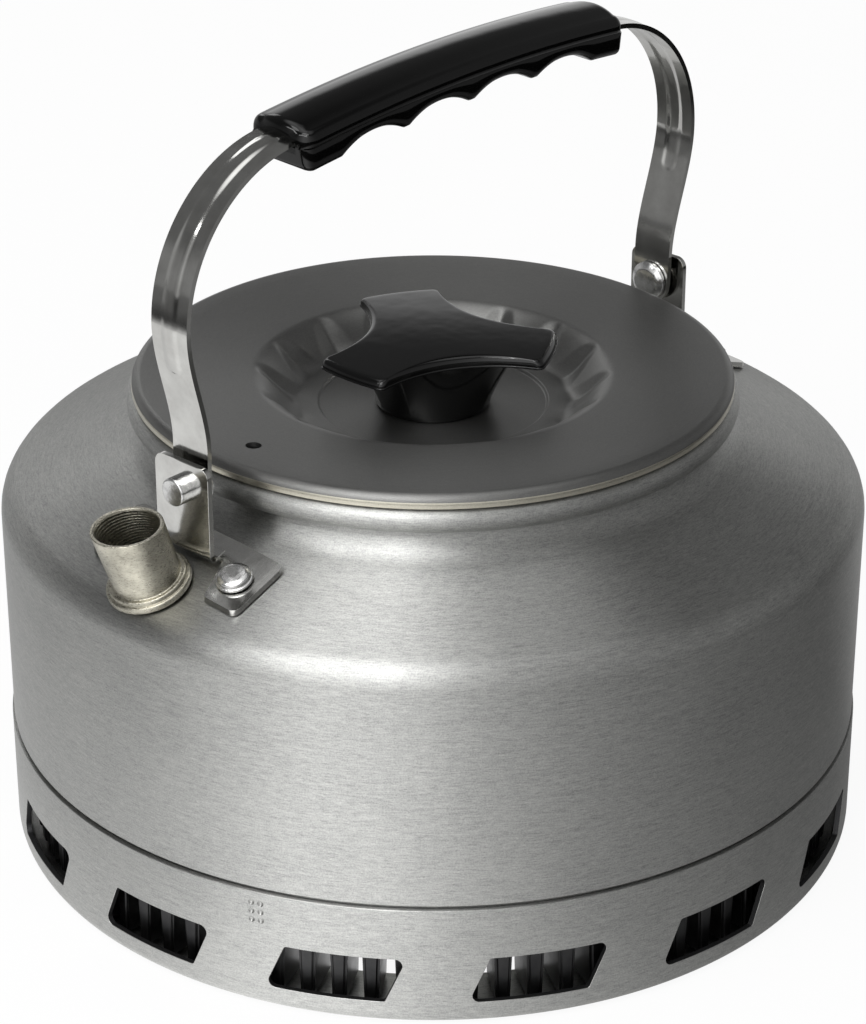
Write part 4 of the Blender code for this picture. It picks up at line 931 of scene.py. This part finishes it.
def glossy_plastic(name, shine):
    """Moulded black plastic: nearly mirror-smooth, with a faint ripple and a few dull specks."""
    mat = finish(name, "040404", 0.0, 0.08)
    point = object_point(mat)
    speck = noise(mat, point, 0.5 * MM, 2.0)
    shade(mat, {"Specular IOR Level": shine, "Roughness": spread(mat, speck, 0.04, 0.12),
                "Normal": bump(mat, noise(mat, point, 9.0 * MM, 2.0), 0.12 * MM, 0.5)})
    return mat


PLASTIC = glossy_plastic("glossy_black_plastic", 0.32)


def grip_ring(x, section):
    ring = []
    for y, above in section:
        px, pz = crown_point(x, above)
        ring.append(Vector((px, y, pz)))
    return ring


def end_round(x, radius):
    """How far a round end of the given radius has closed in at x."""
    return corner_inset(abs(x) - (GRIP_END - radius), radius)


def grip_stations(corner, count, middle):
    """Places along the grip: the middle ones, and ends that are closer together at the tips."""
    first = [-GRIP_END + corner * (1.0 - sin(i * pi / (2.0 * count))) for i in range(count, 0, -1)]
    return first + middle + [-x for x in reversed(first)]


def add_grip_upper():
    groove = RIB_WIDTH / 2.0 + GRIP_FIT
    groove_top = STRAP / 2.0 + RIB_H + GRIP_FIT
    channel_top = STRAP / 2.0 + GRIP_FIT
    plain = GRIP_END - GRIP_CORNER_R
    r = GRIP_EDGE_R
    rings = []
    for x in grip_stations(GRIP_CORNER_R, 12, spaced(-plain, plain, 48)):
        side_top = GRIP_TOP - end_round(x, r) - GRIP_CROWN
        width = GRIP_WIDTH / 2.0 - end_round(x, GRIP_CORNER_R)
        half = [(width - GRIP_CHAMFER, GRIP_SKIRT), (width, GRIP_SKIRT + GRIP_CHAMFER_H)]
        half += arc(width - r, side_top - r, r, 0.0, 0.5 * pi, 8)
        half += [(y * (width - r), side_top + GRIP_CROWN * (1.0 - y * y)) for y in (0.8, 0.6, 0.4, 0.2)]
        narrow = min(STRAP_WIDTH / 2.0 + GRIP_FIT, width - 0.2 * MM)
        channel = [(-narrow, GRIP_SKIRT), (-narrow, channel_top), (-groove, channel_top), (-groove, groove_top)]
        rings.append(grip_ring(x, mirrored(half, [(0.0, side_top + GRIP_CROWN)]) + mirrored(channel)))
    add_piece("grip_cap", skinned(rings), "bail", PLASTIC, ["grip_upper"], GRIP_PLACE,
              sharp=40.0 * DEG)
    pegs = bmesh.new()
    for side in (-1, 1):
        add_cylinder(pegs, PEG_R, -PEG_REACH, groove_top + 0.3 * MM, peg_place(side), 32)
    add_piece("grip_snap_pegs", pegs, "bail", PLASTIC, place=BAIL_PLACE)


def finger_depth(x):
    """How deep the finger grooves cut into the underside at x."""
    if abs(x) >= FINGERS_END:
        return 0.0
    t = ((x + FINGERS_END) / FINGER_PITCH) % 1.0
    return FINGER_DEPTH * max(0.0, 1.0 - ((2.0 * t - 1.0) / FINGER_RIDGE) ** 2)


def add_grip_lower():
    high = GRIP_SKIRT - 2.0 * GRIP_FIT
    plain = spaced(GRIP_LOWER_CORNER_R - GRIP_END, -FINGERS_END, 4)[:-1]
    middle = plain + spaced(-FINGERS_END, FINGERS_END, 120) + [-x for x in reversed(plain)]
    rings = []
    for x in grip_stations(GRIP_LOWER_CORNER_R, 10, middle):
        inset = end_round(x, GRIP_LOWER_CORNER_R)
        low = -GRIP_UNDER + finger_depth(x) + 0.7 * inset
        width = GRIP_WIDTH / 2.0 - GRIP_LOWER_INSET - inset
        r = min(GRIP_UNDER_EDGE_R, (high - low) * 0.45)
        half = arc(width - r, low + r, r, 1.5 * pi, 2.0 * pi, 6)
        half += [(width, high - GRIP_CHAMFER_H), (width - GRIP_CHAMFER, high)]
        rings.append(grip_ring(x, mirrored(half)))
    lower = add_piece("grip_finger_half", skinned(rings), "bail", PLASTIC, ["grip_lower"],
                      GRIP_PLACE, sharp=40.0 * DEG)
    sockets = [(PEG_R + HOLE_GAP, -PEG_REACH - HOLE_GAP, 2.0 * STRAP, BAIL_PLACE @ peg_place(side))
               for side in (-1, 1)]
    drill(lower, sockets, 32, 40.0 * DEG)


add_grip_upper()
add_grip_lower()

# Lid
# A pressed aluminium disc in a darker, matter anodising, with a dish whose wall is drawn in
# with sixteen wedge-shaped pleats, and a small steam hole. A painted highlight, a warm bright
# band, lies along its rolled-down rim's lower edge. The collar under it drops into the vessel's neck.

LID_OVERHANG = 4.0 * MM
LID_RIM_H = 2.9 * MM
LID_RIM_R = 2.2 * MM
LID_HEM_ROUND = 0.15 * MM
LID_FALL = 1.0 * MM
DISH_R = 40.0 * MM
DISH_FOOT_R = 29.0 * MM
DISH_DEPTH = 7.6 * MM
FLOOR_RING_R = 24.8 * MM
FLOOR_RING_RISE = 0.6 * MM
PLEAT_COUNT = 16
PLEAT_DEPTH = 1.4 * MM
PLEAT_START_R = DISH_R - 1.5 * MM
PLEAT_FIRST = 6.0 * DEG
RIM_BAND_IN = 0.9 * MM
RIM_BAND_DOWN = 1.5 * MM
STEAM_HOLE_R = 1.7 * MM
STEAM_HOLE_AT = 55.0 * MM
SCREW_R = 2.0 * MM
COLLAR_CLEARANCE = 0.5 * MM
COLLAR_BEVEL = 0.4 * SHEET
LID_R = NECK_IN_R + LID_OVERHANG
LID_TOP_Z = BEAD_TOP_Z + SEAT_GAP + LID_RIM_H
DISH_FLOOR_Z = LID_TOP_Z - LID_FALL - DISH_DEPTH
LID_SEGMENTS = 24 * PLEAT_COUNT

# An even dark grey, much duller than the body; and a painted highlight: a warm bright band that stands for the
# key lamp's reflection along the rim's lower edge
LID_METAL = brushed_metal("hard_anodised_lid", "6C6C6B", "7E7E7C", 0.42, 0.5, 0.002 * MM)
RIM_HIGHLIGHT_METAL = brushed_metal("painted_highlight_rim", "B4B0A2", "D2CEC0", 0.3, 0.5, 0.002 * MM)


def lid_outline():
    ring_z = DISH_FLOOR_Z + FLOOR_RING_RISE
    ledge = LID_TOP_Z - LID_FALL
    rim_low = LID_TOP_Z - LID_RIM_H
    rim_r, rim_z = LID_R - LID_RIM_R, LID_TOP_Z - LID_RIM_R
    inner, soft = LID_R - SHEET, LID_HEM_ROUND
    top = rounded([
        (SCREW_R + HOLE_GAP, DISH_FLOOR_Z, 0.0), (FLOOR_RING_R, DISH_FLOOR_Z, 0.5 * MM),
        (FLOOR_RING_R + 0.5 * MM, ring_z, 0.4 * MM), (DISH_FOOT_R, ring_z, 0.0)])
    for share in spaced(0.0, 1.0, 20)[1:-1]:
        rise = 0.5 - 0.5 * cos(pi * share ** 0.9)
        top.append((DISH_FOOT_R + (DISH_R - DISH_FOOT_R) * share, ring_z + (ledge - ring_z) * rise))
    top += zip(spaced(DISH_R, rim_r, 6), spaced(ledge, LID_TOP_Z, 6))
    rim = arc(rim_r, rim_z, LID_RIM_R, 84.0 * DEG, 0.0, 9)
    hem = [(LID_R, rim_low + soft), (LID_R - soft, rim_low), (inner + soft, rim_low), (inner, rim_low + soft)]
    under_rim = arc(rim_r, rim_z, LID_RIM_R - SHEET, 0.0, 90.0 * DEG, 5)
    under = [(r, z - SHEET) for r, z in reversed(top[:-1])]
    return top + rim + hem + under_rim + under


def pleat(r, angle):
    """How far the dish's wall is pressed down: wedges that widen inwards, sharp at the tip."""
    share = (PLEAT_START_R - r) / (PLEAT_START_R - DISH_FOOT_R)
    if not 0.0 < share < 1.0:
        return 0.0
    turn = (angle - PLEAT_FIRST) * PLEAT_COUNT / (2.0 * pi) % 1.0
    from_middle = abs(turn - 0.5) * 2.0
    wedge = max(0.0, 1.0 - from_middle / (0.25 + 0.75 * share))
    return PLEAT_DEPTH * wedge * sin(pi * share ** 0.8)


def add_lid():
    bm = turned(lid_outline(), LID_SEGMENTS)
    for v in bm.verts:
        v.co.z -= pleat(hypot(v.co.x, v.co.y), atan2(v.co.y, v.co.x))
    # The faces of the rim's lower band wear the painted highlight
    for face in bm.faces:
        middle = face.calc_center_median()
        if hypot(middle.x, middle.y) > LID_R - RIM_BAND_IN and middle.z < LID_TOP_Z - RIM_BAND_DOWN:
            face.material_index = 1
    lid = add_piece("lid_disc", bm, "lid", LID_METAL, ["lid"])
    lid.data.materials.append(RIM_HIGHLIGHT_METAL)
    place = Matrix.Translation((-STEAM_HOLE_AT, 0.0, LID_TOP_Z))
    drill(lid, [(STEAM_HOLE_R, -4.0 * SHEET, 2.0 * SHEET, place)], 40)


def add_collar():
    low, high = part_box("lid_collar")
    wall = NECK_IN_R - COLLAR_CLEARANCE
    under = BEAD_TOP_Z + SEAT_GAP
    ring = rounded([
        (wall - SHEET, low.z, EDGE_SOFT), (wall, low.z, EDGE_SOFT), (wall, under, EDGE_SOFT),
        (high.x, under, EDGE_SOFT), (high.x, high.z - COLLAR_BEVEL, 0.0), (high.x - COLLAR_BEVEL, high.z, 0.0),
        (wall - SHEET, high.z, EDGE_SOFT)], closed=True)
    add_piece("lid_collar_ring", turned(ring, VESSEL_SEGMENTS), "lid", LID_METAL,
              ["lid_collar"])


add_lid()
add_collar()
wear("knob_screw", STEEL)
wear("knob_washer", STEEL)

# Knob
# One glossy black moulding, screwed on from under the lid: a stem that spreads into a slightly
# crowned plate with three blunt arms, a fine parting lip below and a round upper edge.

KNOB_BASE_R = 12.6 * MM
KNOB_BASE_BEVEL = 0.2 * MM
KNOB_BASE_BEVEL_H = 0.3 * MM
KNOB_SPREAD = 0.44           # how far the stem has grown towards the plate's outline under it
KNOB_PLATE = 2.9 * MM
KNOB_TIP_AT = 26.0 * MM
KNOB_TIP_HALF = 9.3 * MM
KNOB_TIP_BULGE = 0.8 * MM
KNOB_TIP_ROUND = 1.4 * MM
KNOB_HOLLOW_R = 14.8 * MM
KNOB_EDGE_R = 1.5 * MM       # round of the plate's upper edge
KNOB_LIP = 0.25 * MM         # parting lip along its lower edge
KNOB_CROWN = 0.8 * MM        # the plate's top rises this much to its middle
SCREW_DEPTH = 9.0 * MM

# The grip's glossy black with slightly brighter reflections
KNOB_PLASTIC = glossy_plastic("glossy_black_knob", 0.44)


def knob_plan():
    """Outline of the plate: three blunt arms with soft corners, joined by concave edges."""
    tip = Vector((KNOB_TIP_AT, KNOB_TIP_HALF))
    span = pi / 3.0 - atan2(tip.y, tip.x)
    half_chord = tip.length * sin(span)
    sag = tip.length * cos(span) - KNOB_HOLLOW_R
    hollow = (half_chord ** 2 + sag ** 2) / (2.0 * sag)
    centre = KNOB_HOLLOW_R + hollow
    sweep = asin(half_chord / hollow)
    corners = []
    for arm in range(3):
        direction = pi + arm * 2.0 * pi / 3.0
        turn = Matrix.Rotation(direction, 2)
        for t in spaced(-1.0, 1.0, 8):
            spot = turn @ Vector((KNOB_TIP_AT + KNOB_TIP_BULGE * (1.0 - t * t), KNOB_TIP_HALF * t))
            corners.append((*spot, KNOB_TIP_ROUND if abs(t) == 1.0 else 0.0))
        middle = Matrix.Rotation(direction + pi / 3.0, 2)
        for a in spaced(sweep, -sweep, 20)[1:-1]:
            corners.append((*(middle @ Vector((centre - hollow * cos(a), -hollow * sin(a)))), 0.0))
    return [Vector(p) for p in rounded(corners, closed=True, step=18.0 * DEG)]


def knob_ring(plan, z, share, inset=0.0, base_r=KNOB_BASE_R):
    """A level outline between the stem's circle, at share 0, and the inset plan, at share 1."""
    spots = [(p.normalized() * base_r).lerp(p - p.normalized() * inset, share) for p in plan]
    return [Vector((*spot, z)) for spot in spots]


def add_knob():
    knob_low, knob_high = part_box("knob")
    low, top = knob_low.z, knob_high.z
    under = top - KNOB_PLATE
    stem_low = low + KNOB_BASE_BEVEL_H
    edge, lip = KNOB_EDGE_R, KNOB_LIP
    plan = knob_plan()
    rings = [knob_ring(plan, low, 0.0, base_r=KNOB_BASE_R - KNOB_BASE_BEVEL)]
    rings += [knob_ring(plan, stem_low + (under - stem_low) * t, KNOB_SPREAD * t ** 1.25)
              for t in spaced(0.0, 1.0, 14)]
    rings += [knob_ring(plan, under + lip * (1.0 - cos(a)), 1.0, lip * (1.0 - sin(a)))
              for a in spaced(0.0, 180.0 * DEG, 8)]
    upper = [knob_ring(plan, top - edge * (1.0 - sin(a)), 1.0, lip + edge * (1.0 - cos(a)))
             for a in spaced(0.0, 90.0 * DEG, 9)]
    upper += [[Vector((p.x * share, p.y * share, top)) for p in upper[-1]]
              for share in (0.96, *spaced(0.9, 0.1, 8))]
    for p in (p for row in upper for p in row):
        p.z -= KNOB_CROWN * (hypot(p.x, p.y) / KNOB_TIP_AT) ** 2
    knob = add_piece("knob_moulding", skinned(rings + upper), "lid", KNOB_PLASTIC, ["knob"],
                     sharp=38.0 * DEG)
    bore = (SCREW_R + HOLE_GAP, low - 1.0 * MM, low + SCREW_DEPTH + 1.0 * MM, Matrix())
    drill(knob, [bore], 32, 38.0 * DEG)


add_knob()

# Studio
# A white table and a backdrop, a panel in front, a ceiling and four lamps, with the camera
# where the photograph was taken from. The camera sees the table and the room white; the
# kettle mirrors them with these levels, which give its metal the light and dark bands.

WHITE = (1.0, 1.0, 1.0, 1.0)
CAMERA_AT = Vector((-0.4710, -0.4286, 0.3864))
CAMERA_PITCH = 26.37 * DEG
CAMERA_TURN = atan2(CAMERA_AT.y, CAMERA_AT.x)
PHOTO_HEIGHT = 1024.0
PHOTO_FOCUS = 3193.0         # focal length in the photograph's own pixels
SENSOR = 36.0
LAMP_AIM = Vector((0.0, 0.0, 0.08))
# Name, degrees to the right of the camera, elevation, distance, width, height and power
LAMPS = [("key_left", -36.0, 44.0, 1.2, 1.0, 0.12, 3.0), ("soft_left", -27.0, 62.0, 1.2, 0.8, 0.4, 4.0),
         ("back_left", -157.0, 31.0, 1.2, 0.3, 0.3, 0.5), ("small_lamp", -16.0, 48.0, 2.0, 0.12, 0.12, 1.6)]
TABLE_WIDEN = 1.33           # the wall's reflection spreads the table's light around the kettle
TABLE_POWER = 1.9
TABLE_REST = 0.07            # what is left of the table's light beyond its edge
BACKDROP_POWER = 1.0
BACKDROP_REST = 0.03
FRONT_POWER = 1.8
CEILING_POWER = 2.0
CEILING_REST = 0.17
CAMERA_WHITE = 0.92          # share of pure white in the table that the camera sees
FLOOR_R = 3.0
FLOOR_DROP = 0.05 * MM
# Where the table's light ends and the backdrop's begins, in metres from the axis
TABLE_EDGE = (0.37, 0.46)
BACKDROP_FOOT = (0.37, 0.8)
# Heights of a direction at which the backdrop and the front panel end and the ceiling begins
BACKDROP_TOP = (0.23, 0.43)
FRONT_TOP = (0.65, 0.85)
CEILING_EDGE = (0.82, 0.95)
# Degrees to the right of the camera, and the brightness there
TABLE_LEVELS = [(-180, 0.35), (-124, 0.48), (-77, 0.66), (-52, 0.8), (-31, 1.0), (-9, 0.82), (13, 0.5),
                (35, 0.31), (58, 0.21), (82, 0.15), (134, 0.1), (180, 0.3)]
BACKDROP_LEVELS = [(-180, 0.85), (-150, 0.45), (-120, 0.35), (-60, 0.0), (120, 0.0), (150, 0.45), (180, 0.85)]
FRONT_LEVELS = [(-180, 0.0), (-80, 0.0), (-64, 0.12), (-46, 0.6), (-31, 1.0), (-9, 0.9), (13, 0.52),
                (35, 0.32), (58, 0.19), (82, 0.13), (134, 0.08), (180, 0.0)]
CEILING_LEVELS = [(-180, 0.6), (-150, 1.0), (-100, 0.9), (-31, 0.8), (0, 0.6), (30, 0.62), (90, 0.6),
                  (135, 0.5), (165, 0.4), (180, 0.6)]


def put_facing(name, data, spot, way):
    """A new camera or lamp at a spot, upright and facing a way."""
    holder = bpy.data.objects.new(name, data)
    holder.location = spot
    holder.rotation_euler = way.to_track_quat("-Z", "Y").to_euler()
    bpy.context.scene.collection.objects.link(holder)
    return holder


def add_camera():
    camera = bpy.data.cameras.new("photo_camera")
    camera.sensor_fit = "VERTICAL"
    camera.sensor_height = SENSOR
    camera.lens = SENSOR * PHOTO_FOCUS / PHOTO_HEIGHT
    camera.clip_start = 0.01
    way = polar(-cos(CAMERA_PITCH), CAMERA_TURN, -sin(CAMERA_PITCH))
    bpy.context.scene.camera = put_facing("photo_camera", camera, CAMERA_AT, way)


def add_lamp(name, turn, elevation, distance, width, height, power):
    light = bpy.data.lights.new(name, "AREA")
    light.shape = "RECTANGLE"
    light.size = width
    light.size_y = height
    light.energy = power
    away = polar(distance * cos(elevation * DEG), CAMERA_TURN + turn * DEG, distance * sin(elevation * DEG))
    put_facing(name, light, LAMP_AIM + away, -away).visible_camera = False


def around(owner, direction, levels, widen=1.0):
    """Brightness from the levels at a direction's turn from the camera, to its right."""
    right = (-sin(CAMERA_TURN), cos(CAMERA_TURN), 0.0)
    front = (cos(CAMERA_TURN), sin(CAMERA_TURN), 0.0)
    across = vector_maths(owner, "DOT_PRODUCT", direction, right, output="Value")
    ahead = vector_maths(owner, "DOT_PRODUCT", direction, front, output="Value")
    turn = add_node(owner, "ShaderNodeMath", {0: across, 1: ahead}, operation="ARCTAN2").outputs[0]
    limits = {"Value": turn, "From Min": -pi / widen, "From Max": pi / widen}
    place = add_node(owner, "ShaderNodeMapRange", limits).outputs[0]
    ramp = add_node(owner, "ShaderNodeValToRGB", {"Fac": place})
    stops = ramp.color_ramp.elements
    for i, (degrees, level) in enumerate(levels):
        at = (degrees + 180.0) / 360.0
        stop = stops[i] if i < 2 else stops.new(at)
        stop.position = at
        stop.color = (level, level, level, 1.0)
    return ramp.outputs["Color"]


def dimmed(owner, colour, value, band, first, last):
    """Scale a colour by a factor that goes from first to last as a value crosses a band."""
    limits = {"Value": value, "From Min": band[0], "From Max": band[1], "To Min": first, "To Max": last}
    factor = add_node(owner, "ShaderNodeMapRange", limits, interpolation_type="SMOOTHSTEP").outputs[0]
    return vector_maths(owner, "SCALE", colour, Scale=factor)


def either(owner, share, first, second):
    """The first shader, with this share of the second."""
    return add_node(owner, "ShaderNodeMixShader", {0: share, 1: first, 2: second}).outputs[0]


def add_floor():
    bm = bmesh.new()
    bmesh.ops.create_circle(bm, cap_ends=True, segments=96, radius=FLOOR_R)
    floor = meshed("floor", bm)
    floor.location.z = -FLOOR_DROP
    # A matt white table: plain white to the camera, and lit by its levels in the kettle's mirror
    mat = finish("white_floor", "F2F2F2", 0.0, 0.6)
    nodes = mat.node_tree.nodes
    rays = add_node(mat, "ShaderNodeLightPath", {}).outputs
    place = object_point(mat)
    reach = vector_maths(mat, "LENGTH", place, output="Value")
    table = around(mat, place, TABLE_LEVELS, TABLE_WIDEN)
    table = dimmed(mat, table, reach, TABLE_EDGE, TABLE_POWER, TABLE_REST)
    beyond = dimmed(mat, around(mat, place, BACKDROP_LEVELS), reach, BACKDROP_FOOT, 0.0, BACKDROP_POWER)
    lit = add_node(mat, "ShaderNodeEmission", {"Color": vector_maths(mat, "ADD", table, beyond)}).outputs[0]
    white = add_node(mat, "ShaderNodeEmission", {"Color": WHITE, "Strength": 1.0}).outputs[0]
    share = times(mat, rays["Is Camera Ray"], CAMERA_WHITE)
    shown = either(mat, share, nodes["Principled BSDF"].outputs[0], white)
    feed(mat, nodes["Material Output"], {"Surface": either(mat, rays["Is Glossy Ray"], shown, lit)})
    floor.data.materials.append(mat)


def add_world():
    """White to the camera; to the kettle a backdrop low down, dark walls, and a bright ceiling."""
    world = bpy.data.worlds.new("studio")
    bpy.context.scene.world = world
    world.use_nodes = True
    nodes = world.node_tree.nodes
    direction = add_node(world, "ShaderNodeTexCoord", {}).outputs["Generated"]
    height = add_node(world, "ShaderNodeSeparateXYZ", {"Vector": direction}).outputs["Z"]
    light = None
    for levels, band, first, last in (
            (BACKDROP_LEVELS, BACKDROP_TOP, BACKDROP_POWER, BACKDROP_REST),
            (FRONT_LEVELS, FRONT_TOP, FRONT_POWER, 0.0),
            (CEILING_LEVELS, CEILING_EDGE, CEILING_REST, CEILING_POWER)):
        more = dimmed(world, around(world, direction, levels), height, band, first, last)
        light = more if light is None else vector_maths(world, "ADD", light, more)
    feed(world, nodes["Background"], {"Color": light})
    white = add_node(world, "ShaderNodeBackground", {"Color": WHITE, "Strength": 1.0}).outputs[0]
    seen = add_node(world, "ShaderNodeLightPath", {}).outputs["Is Camera Ray"]
    shown = either(world, seen, nodes["Background"].outputs[0], white)
    feed(world, nodes["World Output"], {"Surface": shown})


add_camera()
for lamp in LAMPS:
    add_lamp(*lamp)
add_floor()
add_world()

bpy.context.scene.view_settings.view_transform = "Standard"
